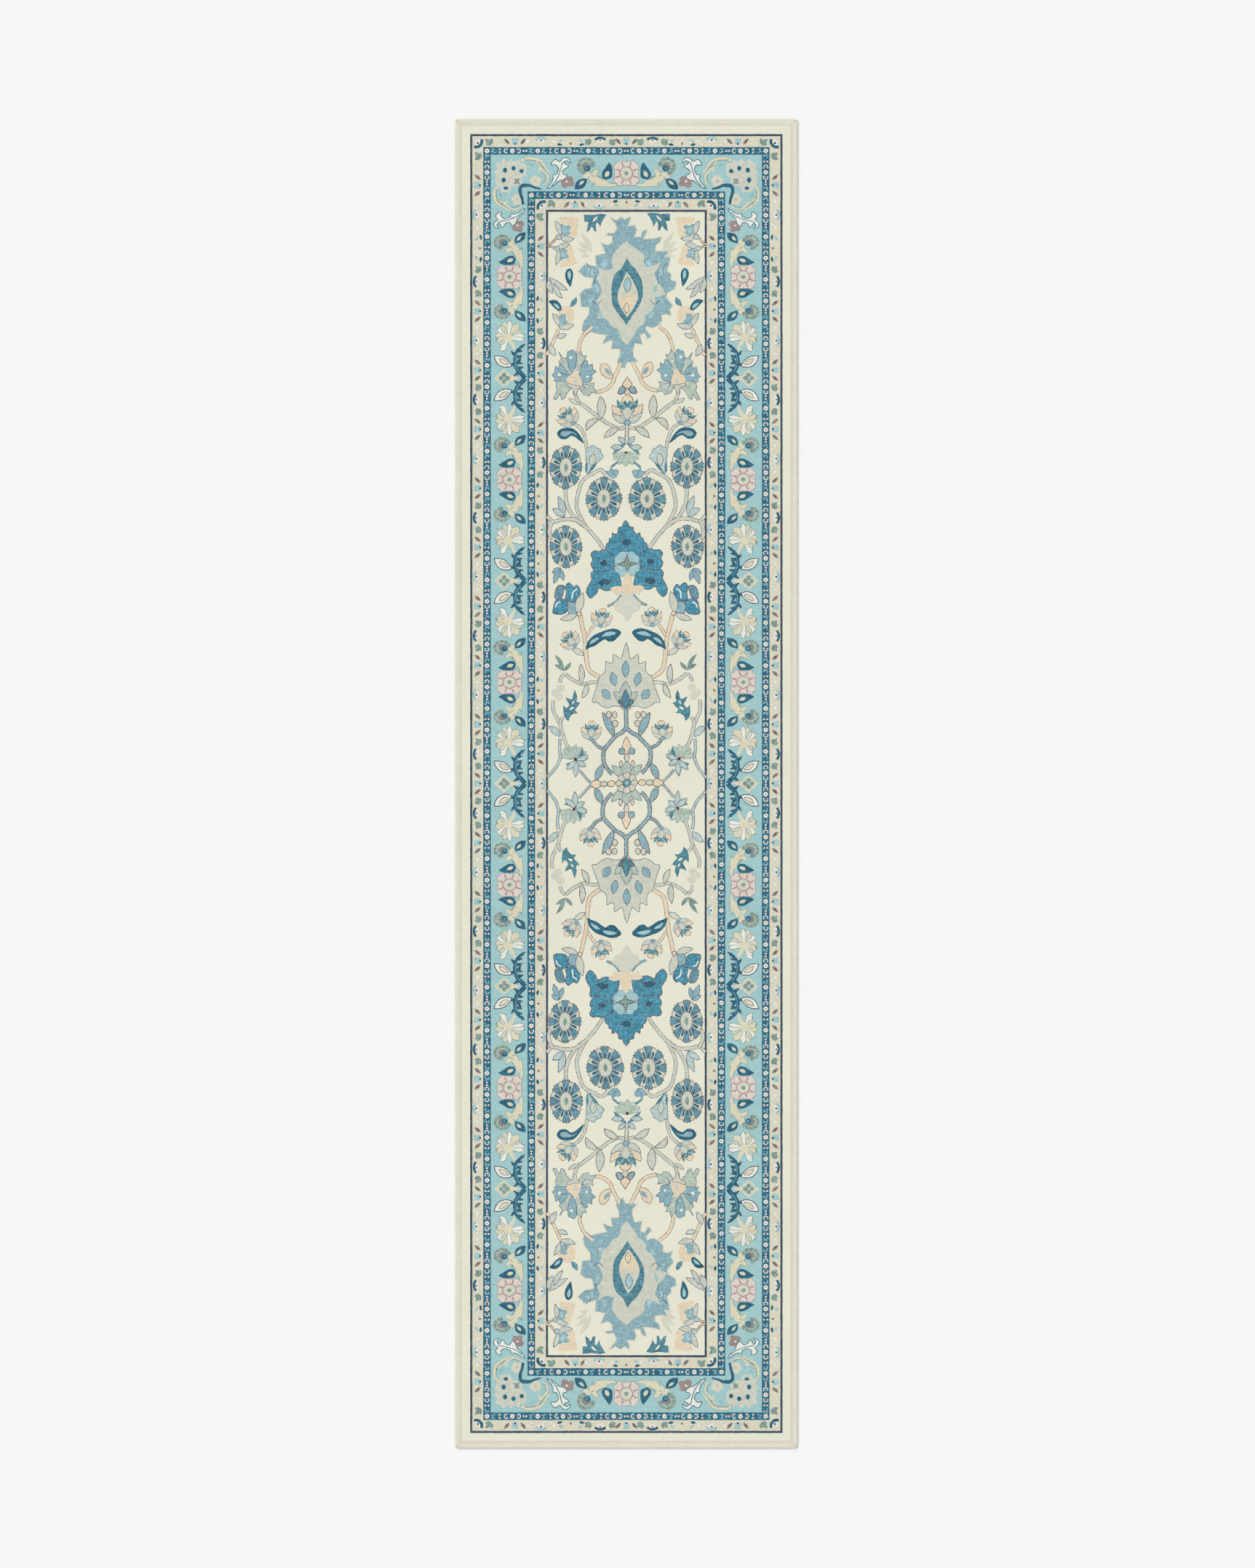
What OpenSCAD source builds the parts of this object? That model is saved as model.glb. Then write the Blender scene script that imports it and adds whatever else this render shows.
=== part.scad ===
// Runner rug: a low woven pile in coloured bands on a ground weave, backed with latex and felt,
// bound on all four edges with mitred tape, and held on the floor by lines of grip bead.
// Frame: origin on the floor at the centre of the rug, +X across, +Y along the length, +Z up.

/* [Overall] */
// Width over the bindings
rug_w = 762; // [600:1:1000]
// Length over the bindings
rug_l = 2958; // [1500:1:4000]
// Plan radius of the bound corners
corner_r = 6; // [4:0.5:12]

/* [Layers] */
// Height of the grip beads, which the rug stands on
bead_h = 1.2; // [1:0.1:2]
// Thickness of the needled felt backing
felt_t = 1.6; // [1:0.1:3]
// Thickness of the latex coat that locks the tufts and holds the felt
latex_t = 0.4; // [0.2:0.1:1]
// Thickness of the ground weave that carries the pile
weave_t = 0.8; // [0.5:0.1:1.5]
// Height of the pile above the ground weave
pile_h = 2.6; // [1.5:0.1:6]

/* [Pattern bands] */
// Plain margin between the binding and the outer line
margin_w = 19; // [10:0.5:40]
// Width of the outer and the inner dark line
line_w = 4; // [2:0.5:8]
// Sand guard outside the main border
outer_guard_w = 24.5; // [12:0.5:40]
// Teal stripe outside the main border
outer_stripe_w = 17; // [8:0.5:30]
// Main border
border_w = 81.5; // [50:0.5:110]
// Teal stripe inside the main border
inner_stripe_w = 17; // [8:0.5:30]
// Sand guard round the field
inner_guard_w = 24.5; // [12:0.5:40]
// Sheared gap where the runs of a band meet at a corner
mitre_gap = 0.2; // [0.1:0.1:1]

/* [Binding] */
// Width of the tape seen on the face and on the back
tape_w = 15; // [13:0.5:25]
// Thickness of one ply of tape, round the edge and under the felt
tape_t = 0.8; // [0.5:0.1:1.2]
// Thickness of the tape on the face, where its hem is turned under
hem_t = 1.5; // [0.8:0.1:2.2]
// Radius of the tape's outer bends
fold_r = 0.7; // [0.2:0.1:1]
// Distance of the seam from the tape's inner edge
seam_inset = 3.5; // [2:0.5:6]
// Thickness of the needle thread on the face
needle_thread_d = 0.7; // [0.4:0.05:0.9]
// Thickness of the bobbin thread on the back
bobbin_thread_d = 0.5; // [0.3:0.05:0.7]
// Length of a bar tack across a mitre
tack_l = 9; // [6:0.5:12]
// Thickness of a bar tack
tack_d = 1.6; // [1:0.1:2.4]

/* [Grip] */
// Spacing of the grip beads across the rug
bead_pitch = 40; // [25:1:80]
// Width of a bead where it is bonded to the felt
bead_w = 5; // [4.4:0.2:8]
// Clear felt between a bead's end, or the outermost bead, and the tape
bead_clear = 10; // [5:1:40]

/* [Label] */
// Width of the folded label
label_w = 24; // [15:1:32]
// Length of label that shows beyond the tape
label_l = 42; // [20:1:80]
// Thickness of one ply of the label
label_ply_t = 0.2; // [0.1:0.05:0.3]

/* [Hidden] */
$fn = 48;
eps = 0.01;

// Heights of the layers, from the floor up
felt_z = bead_h;
latex_z = felt_z + felt_t;
weave_z = latex_z + latex_t;
pile_z = weave_z + weave_t;
pile_top = pile_z + pile_h;
tape_bottom = felt_z - tape_t;
tape_top = pile_z + hem_t;

// Distance of each band from the edge of the rug
margin_in = tape_w;
outer_line_in = margin_in + margin_w;
outer_guard_in = outer_line_in + line_w;
outer_stripe_in = outer_guard_in + outer_guard_w;
border_in = outer_stripe_in + outer_stripe_w;
inner_stripe_in = border_in + border_w;
inner_guard_in = inner_stripe_in + inner_stripe_w;
inner_line_in = inner_guard_in + inner_guard_w;
field_in = inner_line_in + line_w;

// The furrow that the seam pulls into the tape
seam_in = tape_w - seam_inset;
furrow_w = needle_thread_d + 0.3;
needle_furrow_d = needle_thread_d / 2;
bobbin_furrow_d = bobbin_thread_d * 0.7;

// The beads that fit between the tapes
bead_span = rug_w - 2 * (tape_w + bead_clear) - bead_w;
bead_count = 2 * floor(bead_span / bead_pitch / 2 + 0.5);
bead_l = rug_l - 2 * (tape_w + bead_clear);

// The label hangs from the foot tape, midway between two beads
label_x = -(bead_count / 2 - 1) * bead_pitch;

// Size of the layers inside the binding
core_w = rug_w - 2 * tape_t;
core_l = rug_l - 2 * tape_t;
core_r = corner_r - tape_t;

// A rectangle centred on the origin with round corners
module round_plan(w, l, r) {
    square([w - 2 * r, l], center = true);
    square([w, l - 2 * r], center = true);
    for (sx = [-1, 1], sy = [-1, 1])
        translate([sx * (w / 2 - r), sy * (l / 2 - r)]) circle(r = r);
}

// One full layer of the rug inside the binding
module core_layer(z, t) {
    translate([0, 0, z]) linear_extrude(t) round_plan(core_w, core_l, core_r);
}

// One straight run of a band along the edge y = -span / 2, with mitred ends
module band_run(span, from_edge, across) {
    near = span / 2 - from_edge - mitre_gap;
    far = near - across;
    polygon([[-near, 0], [near, 0], [far, across], [-far, across]]);
}

// A band of pile: four runs that meet on the corner mitres
module pile_band(from_edge, across) {
    translate([0, 0, pile_z]) linear_extrude(pile_h) {
        for (turn = [0, 180]) rotate(turn) {
            translate([0, from_edge - rug_l / 2]) band_run(rug_w, from_edge, across);
            rotate(90) translate([0, from_edge - rug_w / 2]) band_run(rug_l, from_edge, across);
        }
    }
}

// Section of the folded tape: x is the distance in from the edge of the rug, y the height
module tape_section(reach) {
    difference() {
        union() {
            translate([fold_r, tape_bottom]) square([reach - fold_r, tape_top - tape_bottom]);
            translate([0, tape_bottom + fold_r])
                square([reach, tape_top - tape_bottom - 2 * fold_r]);
            for (y = [tape_bottom + fold_r, tape_top - fold_r])
                translate([fold_r, y]) circle(r = fold_r);
        }
        translate([tape_t, felt_z]) square([reach, pile_z - felt_z]);
        translate([seam_in - furrow_w / 2, tape_top - needle_furrow_d])
            square([furrow_w, hem_t]);
        translate([seam_in - furrow_w / 2, tape_bottom - tape_t])
            square([furrow_w, tape_t + bobbin_furrow_d]);
    }
}

// The part of the section that turns round the corner
module bend_section() {
    intersection() {
        translate([corner_r, 0]) mirror([1, 0]) tape_section(corner_r);
        square([corner_r, tape_top + tape_t]);
    }
}

// One tape along the edge y = -span / 2, mitred at both ends, with its share of both corners
module binding_tape(span, other) {
    straight = span - 2 * corner_r;
    translate([0, -other / 2, 0]) {
        intersection() {
            translate([-straight / 2, 0, 0]) rotate([90, 0, 90])
                linear_extrude(straight) tape_section(tape_w);
            linear_extrude(tape_top + tape_t)
                polygon([[-span / 2, 0], [span / 2, 0],
                         [span / 2 - tape_w, tape_w], [tape_w - span / 2, tape_w]]);
        }
        for (side = [0, 1]) mirror([side, 0, 0])
            translate([straight / 2, corner_r, 0])
                rotate(-90) rotate_extrude(angle = 45) bend_section();
    }
}

// The seam along the same edge: needle thread on the face, bobbin thread on the back
module seam_thread(span, other) {
    run = span - 2 * seam_in - needle_thread_d;
    translate([0, seam_in - other / 2, 0]) {
        translate([-run / 2, 0, tape_top - needle_furrow_d + needle_thread_d / 2])
            rotate([0, 90, 0]) cylinder(d = needle_thread_d, h = run, $fn = 24);
        translate([-run / 2, 0, tape_bottom + bobbin_furrow_d - bobbin_thread_d / 2])
            rotate([0, 90, 0]) cylinder(d = bobbin_thread_d, h = run, $fn = 24);
    }
}

module grip_beads() {
    color("gainsboro") translate([0, bead_l / 2, 0]) rotate([90, 0, 0])
        linear_extrude(bead_l)
            for (i = [0 : bead_count - 1])
                translate([(i - (bead_count - 1) / 2) * bead_pitch, 0])
                    intersection() {
                        translate([0, bead_h]) circle(d = bead_w);
                        translate([-bead_w, 0]) square([2 * bead_w, bead_h]);
                    }
}

module felt_backing() {
    color("silver") core_layer(felt_z, felt_t);
}

module latex_coat() {
    color("whitesmoke") core_layer(latex_z, latex_t);
}

module ground_weave() {
    color("tan") core_layer(weave_z, weave_t);
}

module margin_pile() {
    color([0.91, 0.91, 0.83]) pile_band(margin_in, margin_w);
}

module outer_line_pile() {
    color([0.30, 0.36, 0.42]) pile_band(outer_line_in, line_w);
}

module outer_guard_pile() {
    color([0.88, 0.84, 0.70]) pile_band(outer_guard_in, outer_guard_w);
}

module outer_stripe_pile() {
    color([0.14, 0.42, 0.54]) pile_band(outer_stripe_in, outer_stripe_w);
}

module main_border_pile() {
    color([0.64, 0.82, 0.83]) pile_band(border_in, border_w);
}

module inner_stripe_pile() {
    color([0.14, 0.42, 0.54]) pile_band(inner_stripe_in, inner_stripe_w);
}

module inner_guard_pile() {
    color([0.88, 0.84, 0.70]) pile_band(inner_guard_in, inner_guard_w);
}

module inner_line_pile() {
    color([0.30, 0.36, 0.42]) pile_band(inner_line_in, line_w);
}

module field_pile() {
    color([0.92, 0.91, 0.83]) translate([0, 0, pile_z]) linear_extrude(pile_h)
        square([rug_w - 2 * field_in, rug_l - 2 * field_in], center = true);
}

module binding_foot() {
    color([0.88, 0.86, 0.80]) binding_tape(rug_w, rug_l);
}

module binding_head() {
    color([0.88, 0.86, 0.80]) rotate(180) binding_tape(rug_w, rug_l);
}

module binding_right() {
    color([0.88, 0.86, 0.80]) rotate(90) binding_tape(rug_l, rug_w);
}

module binding_left() {
    color([0.88, 0.86, 0.80]) rotate(-90) binding_tape(rug_l, rug_w);
}

module seam_thread_foot() {
    color("wheat") seam_thread(rug_w, rug_l);
}

module seam_thread_head() {
    color("wheat") rotate(180) seam_thread(rug_w, rug_l);
}

module seam_thread_right() {
    color("wheat") rotate(90) seam_thread(rug_l, rug_w);
}

module seam_thread_left() {
    color("wheat") rotate(-90) seam_thread(rug_l, rug_w);
}

// Bar tacks that close the four mitres, outside the seam
module corner_tacks() {
    tack_in = seam_in / 2;
    color("wheat") for (sx = [-1, 1], sy = [-1, 1])
        translate([sx * (rug_w / 2 - tack_in), sy * (rug_l / 2 - tack_in), tape_top])
            rotate(-45 * sx * sy) rotate([0, 90, 0])
                difference() {
                    cylinder(d = tack_d, h = tack_l, center = true, $fn = 32);
                    translate([0, -tack_d, -tack_l])
                        cube([tack_d, 2 * tack_d, 2 * tack_l]);
                }
}

// A blank folded label on the back, held at the foot tape
module care_label() {
    color("white") translate([label_x - label_w / 2, tape_w - rug_l / 2, felt_z])
        rotate([0, 90, 0]) linear_extrude(label_w) {
            square([2 * label_ply_t, label_l - label_ply_t]);
            translate([label_ply_t, label_l - label_ply_t]) circle(r = label_ply_t);
        }
}

// The line of stitches across the label, beside the tape
module label_thread() {
    color("wheat")
        translate([label_x - label_w / 2, tape_w - rug_l / 2 + bobbin_thread_d,
                   felt_z - 2 * label_ply_t - bobbin_thread_d / 2])
            rotate([0, 90, 0]) cylinder(d = bobbin_thread_d, h = label_w, $fn = 24);
}

grip_beads();
felt_backing();
latex_coat();
ground_weave();
margin_pile();
outer_line_pile();
outer_guard_pile();
outer_stripe_pile();
main_border_pile();
inner_stripe_pile();
inner_guard_pile();
inner_line_pile();
field_pile();
binding_left();
binding_right();
binding_head();
binding_foot();
seam_thread_left();
seam_thread_right();
seam_thread_head();
seam_thread_foot();
corner_tacks();
care_label();
label_thread();
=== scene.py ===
import logging
import math
import random
from collections.abc import Callable, Iterable, Sequence
from dataclasses import dataclass, field
from enum import Enum
from itertools import accumulate

import bpy
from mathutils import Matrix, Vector
from mathutils.geometry import intersect_line_line_2d


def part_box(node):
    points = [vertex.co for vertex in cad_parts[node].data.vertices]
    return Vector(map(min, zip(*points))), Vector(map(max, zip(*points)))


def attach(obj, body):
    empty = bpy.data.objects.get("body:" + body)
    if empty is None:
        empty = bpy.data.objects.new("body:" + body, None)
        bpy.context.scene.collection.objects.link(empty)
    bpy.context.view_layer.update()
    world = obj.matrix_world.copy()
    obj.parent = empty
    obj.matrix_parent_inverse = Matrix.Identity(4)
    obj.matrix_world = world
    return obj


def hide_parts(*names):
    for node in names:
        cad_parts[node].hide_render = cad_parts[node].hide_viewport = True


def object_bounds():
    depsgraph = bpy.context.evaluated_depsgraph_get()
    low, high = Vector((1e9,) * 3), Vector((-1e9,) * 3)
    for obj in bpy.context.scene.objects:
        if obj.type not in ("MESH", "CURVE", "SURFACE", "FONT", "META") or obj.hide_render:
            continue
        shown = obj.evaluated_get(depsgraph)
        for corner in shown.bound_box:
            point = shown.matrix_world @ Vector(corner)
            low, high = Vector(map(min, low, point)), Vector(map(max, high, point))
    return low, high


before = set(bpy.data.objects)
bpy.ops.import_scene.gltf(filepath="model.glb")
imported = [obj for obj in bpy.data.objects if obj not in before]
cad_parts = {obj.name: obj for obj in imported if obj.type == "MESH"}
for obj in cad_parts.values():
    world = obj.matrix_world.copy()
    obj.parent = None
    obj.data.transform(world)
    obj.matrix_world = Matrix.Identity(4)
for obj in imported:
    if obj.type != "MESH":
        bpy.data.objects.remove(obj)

LOG = logging.getLogger("runner_rug")
CAD_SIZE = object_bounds()
MM = 0.001
Knot = tuple[float, ...]
Point = tuple[float, float]
Loop = list[Point]
Rgb = tuple[int, int, int]
Socket = bpy.types.NodeSocket


class Dye(Enum):
    """The dye lots of the pile yarn."""

    IVORY = "ivory"
    WHITE = "white"
    STONE = "stone"
    GHOST = "ghost"
    PEACH = "peach"
    STRAW = "straw"
    SAND = "sand"
    SAGE = "sage"
    GREEN = "green"
    GREY = "grey"
    SKY = "sky"
    FROST = "frost"
    BORDER = "border_sky"
    CHALK = "chalk_blue"
    DENIM = "denim"
    DEEP = "deep_denim"
    TEAL = "teal"
    STRIPE = "stripe_teal"
    NAVY = "navy"
    SLATE = "slate"
    INK = "ink"
    PLUM = "plum"
    ROSE = "rose"
    BLUSH = "blush"
    MAUVE = "mauve"


(IVORY, WHITE, STONE, GHOST, PEACH, STRAW, SAND, SAGE, GREEN, GREY, SKY, FROST, BORDER, CHALK, DENIM,
 DEEP, TEAL, STRIPE, NAVY, SLATE, INK, PLUM, ROSE, BLUSH, MAUVE) = Dye


class Side(Enum):
    """The four sides of the rug, by the direction that faces away from its middle."""

    RIGHT = (1, 0)
    HEAD = (0, 1)
    LEFT = (-1, 0)
    FOOT = (0, -1)


def linear(colour: Rgb) -> tuple[float, float, float, float]:
    """Linear light of a display colour.

    Args:
        colour: Red, green and blue from 0 to 255.

    Returns:
        The linear colour with full alpha.
    """
    parts = [c / 255 for c in colour]
    red, green, blue = (p / 12.92 if p <= 0.04045 else ((p + 0.055) / 1.055) ** 2.4 for p in parts)
    return (red, green, blue, 1.0)


class Graph:
    """Adds nodes to one node tree and wires them."""

    def __init__(self, tree: bpy.types.NodeTree) -> None:
        """Keep the tree that the nodes go into."""
        self.tree = tree

    def wire(self, socket: Socket, value: object) -> None:
        """Link a socket to another one, or give it a plain value.

        Args:
            socket: The input that is set.
            value: An output socket, a number, or a tuple.
        """
        if isinstance(value, Socket):
            self.tree.links.new(value, socket)
        elif value is not None:
            socket.default_value = value

    def math(self, operation: str, *values: object, clamp: bool = False) -> Socket:
        """One Math node.

        Args:
            operation: Its operation.
            values: Its inputs, in order.
            clamp: Whether the result is kept from 0 to 1.

        Returns:
            Its output.
        """
        node = self.tree.nodes.new("ShaderNodeMath")
        node.operation = operation
        node.use_clamp = clamp
        for socket, value in zip(node.inputs, values):
            self.wire(socket, value)
        return node.outputs[0]

    def clamped(self, value: object) -> Socket:
        """A value kept from 0 to 1."""
        return self.math("MULTIPLY", value, 1.0, clamp=True)

    def vector(self, operation: str, *values: object) -> Socket:
        """One Vector Math node.

        Args:
            operation: Its operation.
            values: Its inputs, in order; for SCALE the last is the factor.

        Returns:
            Its vector output.
        """
        node = self.tree.nodes.new("ShaderNodeVectorMath")
        node.operation = operation
        sockets = [node.inputs[0], node.inputs["Scale"]] if operation == "SCALE" else node.inputs
        for socket, value in zip(sockets, values):
            self.wire(socket, value)
        return node.outputs["Vector"]

    def noise(
        self, place: Socket, cell: tuple[float, float, float], detail: float = 2.0
    ) -> Socket:
        """Smooth noise with cells of a given size.

        Args:
            place: The position in metres.
            cell: The length of a cell along x, y and z, in millimetres.
            detail: The octaves of the noise.

        Returns:
            The noise, about 0.5 on average.
        """
        scaled = self.vector("MULTIPLY", place, tuple(1000 / c for c in cell))
        node = self.tree.nodes.new("ShaderNodeTexNoise")
        node.inputs["Scale"].default_value = 1.0
        node.inputs["Detail"].default_value = detail
        self.wire(node.inputs["Vector"], scaled)
        return node.outputs["Fac"]

    def wave(self, along: Socket, pitch: float) -> Socket:
        """A sine along one coordinate.

        Args:
            along: The coordinate in metres.
            pitch: The wavelength in millimetres.

        Returns:
            A value from -1 to 1.
        """
        return self.math("SINE", self.math("MULTIPLY", along, 2 * math.pi * 1000 / pitch))

    def total(self, *terms: tuple[object, float]) -> Socket:
        """A weighted sum.

        Args:
            terms: Pairs of a socket and its weight.

        Returns:
            The sum.
        """
        result: object = 0.0
        for value, weight in terms:
            result = self.math("MULTIPLY_ADD", value, weight, result)
        return result

    def mix(self, share: object, first: object, second: object) -> Socket:
        """A blend of two colours.

        Args:
            share: How much of the second one.
            first: The first colour.
            second: The second colour.

        Returns:
            The blended colour.
        """
        node = self.tree.nodes.new("ShaderNodeMix")
        node.data_type = "RGBA"
        self.wire(node.inputs[0], share)
        self.wire(node.inputs[6], first)
        self.wire(node.inputs[7], second)
        return node.outputs[2]


def placed_group(
    graph: Graph, tree: bpy.types.NodeTree, place: Socket, values: dict[str, object]
) -> tuple[Socket, Socket, Socket]:
    """Put a node group into a material.

    Args:
        graph: The material's graph.
        tree: The group.
        place: The object position.
        values: The plain value of each of its other inputs.

    Returns:
        Its colour, roughness and height.
    """
    group = graph.tree.nodes.new("ShaderNodeGroup")
    group.node_tree = tree
    graph.wire(group.inputs["Place"], place)
    for title, value in values.items():
        group.inputs[title].default_value = value
    return tuple(group.outputs[title] for title in ("Colour", "Roughness", "Height"))


def new_group(
    name: str, colours: Sequence[str], numbers: Sequence[str]
) -> tuple[Graph, bpy.types.NodeOutputs, bpy.types.NodeInputs, Socket, Socket]:
    """Start a shader node group that puts out a colour, a roughness and a height.

    Args:
        name: The group's name.
        colours: Its colour inputs, after the place.
        numbers: Its number inputs, after those.

    Returns:
        Its graph, what it is given, what it puts out, and the x and y of the place.
    """
    tree = bpy.data.node_groups.new(name, "ShaderNodeTree")
    kinds = [("Place", "Vector"), *((c, "Color") for c in colours), *((n, "Float") for n in numbers)]
    for title, kind in kinds:
        tree.interface.new_socket(title, in_out="INPUT", socket_type=f"NodeSocket{kind}")
    for title, kind in (("Colour", "Color"), ("Roughness", "Float"), ("Height", "Float")):
        tree.interface.new_socket(title, in_out="OUTPUT", socket_type=f"NodeSocket{kind}")
    start = tree.nodes.new("NodeGroupInput")
    end = tree.nodes.new("NodeGroupOutput")
    graph = Graph(tree)
    parts = tree.nodes.new("ShaderNodeSeparateXYZ")
    graph.wire(parts.inputs[0], start.outputs["Place"])
    return graph, start.outputs, end.inputs, parts.outputs["X"], parts.outputs["Y"]


def pile_group() -> bpy.types.NodeTree:
    """The look of woven wool pile: rows of knots, slubs in the yarn and uneven dye.

    Returns:
        The node group, made once.
    """
    if "woven_pile" in bpy.data.node_groups:
        return bpy.data.node_groups["woven_pile"]
    graph, given, end, x, y = new_group("woven_pile", ["Dye", "Accent"], ["Share", "Fleck"])
    place = given["Place"]
    rows = graph.wave(y, 2.1)
    warps = graph.wave(x, 1.7)
    weft_slub = graph.noise(place, (26, 2.2, 20), 3)
    warp_slub = graph.noise(place, (2.4, 30, 20), 3)
    mottle = graph.noise(place, (4.2, 4.6, 6), 3)
    abrash = graph.noise(place, (420, 150, 300), 2)
    tufts = graph.noise(place, (1.3, 1.1, 2), 1)
    wide_streak = graph.noise(place, (13, 4.6, 9), 1)
    tall_streak = graph.noise(graph.vector("ADD", place, (0.21, 0.43, 0.0)), (4.4, 12, 9), 1)
    uneven = graph.total(
        (weft_slub, 0.30), (warp_slub, 0.25), (mottle, 0.45), (tufts, 0.20),
        (wide_streak, 0.60), (tall_streak, 0.55), (-1.175, 1.0),
    )
    swing = graph.math("MULTIPLY", uneven, given["Fleck"])
    tone = graph.total((swing, 3.6), (abrash, 0.10), (rows, 0.012), (warps, 0.008), (0.86, 1.0))
    strong = graph.noise(graph.vector("ADD", place, (0.37, 0.11, 0.0)), (3.4, 3.4, 4), 1)
    level = graph.math("SUBTRACT", 1.0, given["Share"])
    spot = graph.math("MULTIPLY", graph.math("SUBTRACT", strong, level), 7.0, clamp=True)
    dyed = graph.mix(spot, given["Dye"], given["Accent"])
    graph.wire(end["Colour"], graph.vector("SCALE", dyed, tone))
    graph.wire(end["Roughness"], graph.total((mottle, 0.18), (tufts, 0.08), (0.76, 1.0)))
    graph.wire(
        end["Height"],
        graph.total((rows, 0.22), (warps, 0.14), (tufts, 0.55), (weft_slub, 0.30), (mottle, 0.35)),
    )
    return graph.tree


def cloth_group() -> bpy.types.NodeTree:
    """The look of a plain woven tape or fabric: crossed threads with slubs.

    Returns:
        The node group, made once.
    """
    if "plain_weave" in bpy.data.node_groups:
        return bpy.data.node_groups["plain_weave"]
    graph, given, end, x, y = new_group("plain_weave", ["Cloth", "Shade"], ["Along", "Across"])
    place = given["Place"]
    warp = graph.math("SINE", graph.math("MULTIPLY", y, given["Along"]))
    weft = graph.math("SINE", graph.math("MULTIPLY", x, given["Across"]))
    cross = graph.math("MULTIPLY", warp, weft)
    long_slub = graph.noise(place, (3.0, 40, 9), 3)
    wide_slub = graph.noise(place, (40, 3.0, 9), 3)
    soil = graph.noise(place, (60, 60, 40), 3)
    fuzz = graph.noise(place, (0.8, 0.8, 0.8), 2)
    share = graph.total(
        (cross, 0.16), (long_slub, 0.9), (wide_slub, 0.9), (soil, 0.5), (fuzz, 0.3), (-0.85, 1.0)
    )
    graph.wire(end["Colour"], graph.mix(graph.clamped(share), given["Cloth"], given["Shade"]))
    graph.wire(end["Roughness"], graph.total((fuzz, 0.2), (long_slub, 0.1), (0.70, 1.0)))
    graph.wire(end["Height"], graph.total((cross, 0.6), (fuzz, 0.5), (long_slub, 0.4)))
    return graph.tree


@dataclass(frozen=True)
class Finish:
    """What every finish has: a name, how rough and how soft it is, and its relief."""

    name: str
    relief: float = 0.25
    depth: float = 0.0006
    sheen: float = 0.04
    specular: float = 0.15

    def surface(self, graph: Graph, place: Socket) -> tuple[Socket, Socket, Socket]:
        """What changes over the surface; each kind of finish has its own.

        Args:
            graph: The material's graph.
            place: The object position.

        Returns:
            The colour, the roughness and the height.
        """
        raise NotImplementedError

    def material(self) -> bpy.types.Material:
        """The finish as a material, made once and then shared.

        Returns:
            The material.
        """
        if self.name in bpy.data.materials:
            return bpy.data.materials[self.name]
        material = bpy.data.materials.new(self.name)
        material.use_nodes = True
        graph = Graph(material.node_tree)
        shader = graph.tree.nodes["Principled BSDF"]
        shader.inputs["Sheen Weight"].default_value = self.sheen
        shader.inputs["Sheen Roughness"].default_value = 0.6
        shader.inputs["Specular IOR Level"].default_value = self.specular
        place = graph.tree.nodes.new("ShaderNodeTexCoord").outputs["Object"]
        colour, roughness, height = self.surface(graph, place)
        graph.wire(shader.inputs["Base Color"], colour)
        graph.wire(shader.inputs["Roughness"], roughness)
        bump = graph.tree.nodes.new("ShaderNodeBump")
        bump.inputs["Strength"].default_value = self.relief
        bump.inputs["Distance"].default_value = self.depth
        graph.wire(bump.inputs["Height"], height)
        graph.wire(shader.inputs["Normal"], bump.outputs["Normal"])
        return material


@dataclass(frozen=True)
class Yarn(Finish):
    """One dye lot of pile yarn, with a share of knots in an accent dye."""

    colour: Rgb = (230, 229, 209)
    slot: str = "pile_ivory"
    fleck: float = 0.10
    accent: Rgb = (255, 255, 255)
    share: float = 0.0

    def surface(self, graph: Graph, place: Socket) -> tuple[Socket, Socket, Socket]:
        """The dyed pile, as in the base class.

        Args:
            graph: The material's graph.
            place: The object position.

        Returns:
            The colour, the roughness and the height.
        """
        return placed_group(graph, pile_group(), place, {
            "Dye": linear(self.colour), "Accent": linear(self.accent), "Share": self.share,
            "Fleck": self.fleck,
        })


@dataclass(frozen=True)
class Weave(Finish):
    """A plain woven cloth, tape or thread, with its thread pitch in millimetres."""

    colour: Rgb = (225, 220, 205)
    shade: Rgb = (204, 197, 180)
    along: float = 1.1
    across: float = 1.1

    def surface(self, graph: Graph, place: Socket) -> tuple[Socket, Socket, Socket]:
        """The cloth, as in the base class.

        Args:
            graph: The material's graph.
            place: The object position.

        Returns:
            The colour, the roughness and the height.
        """
        return placed_group(graph, cloth_group(), place, {
            "Cloth": linear(self.colour), "Shade": linear(self.shade),
            "Along": 2 * math.pi * 1000 / self.along, "Across": 2 * math.pi * 1000 / self.across,
        })


@dataclass(frozen=True)
class Felt(Finish):
    """Needled felt: short fibres lying every way, with darker ones among them."""

    colour: Rgb = (190, 190, 186)
    fibre: Rgb = (150, 150, 148)

    def surface(self, graph: Graph, place: Socket) -> tuple[Socket, Socket, Socket]:
        """The felt, as in the base class.

        Args:
            graph: The material's graph.
            place: The object position.

        Returns:
            The colour, the roughness and the height.
        """
        slant = graph.noise(place, (9, 1.2, 5), 4)
        cross = graph.noise(place, (1.1, 8, 5), 4)
        clouds = graph.noise(place, (55, 55, 30), 3)
        needles = graph.noise(place, (2.0, 2.0, 2.0), 1)
        share = graph.total((slant, 1.3), (cross, 1.3), (clouds, 0.6), (-1.25, 1.0))
        tint = graph.mix(graph.clamped(share), linear(self.colour), linear(self.fibre))
        roughness = graph.total((slant, 0.15), (0.8, 1.0))
        return tint, roughness, graph.total((slant, 0.5), (cross, 0.5), (needles, 0.8))


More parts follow.
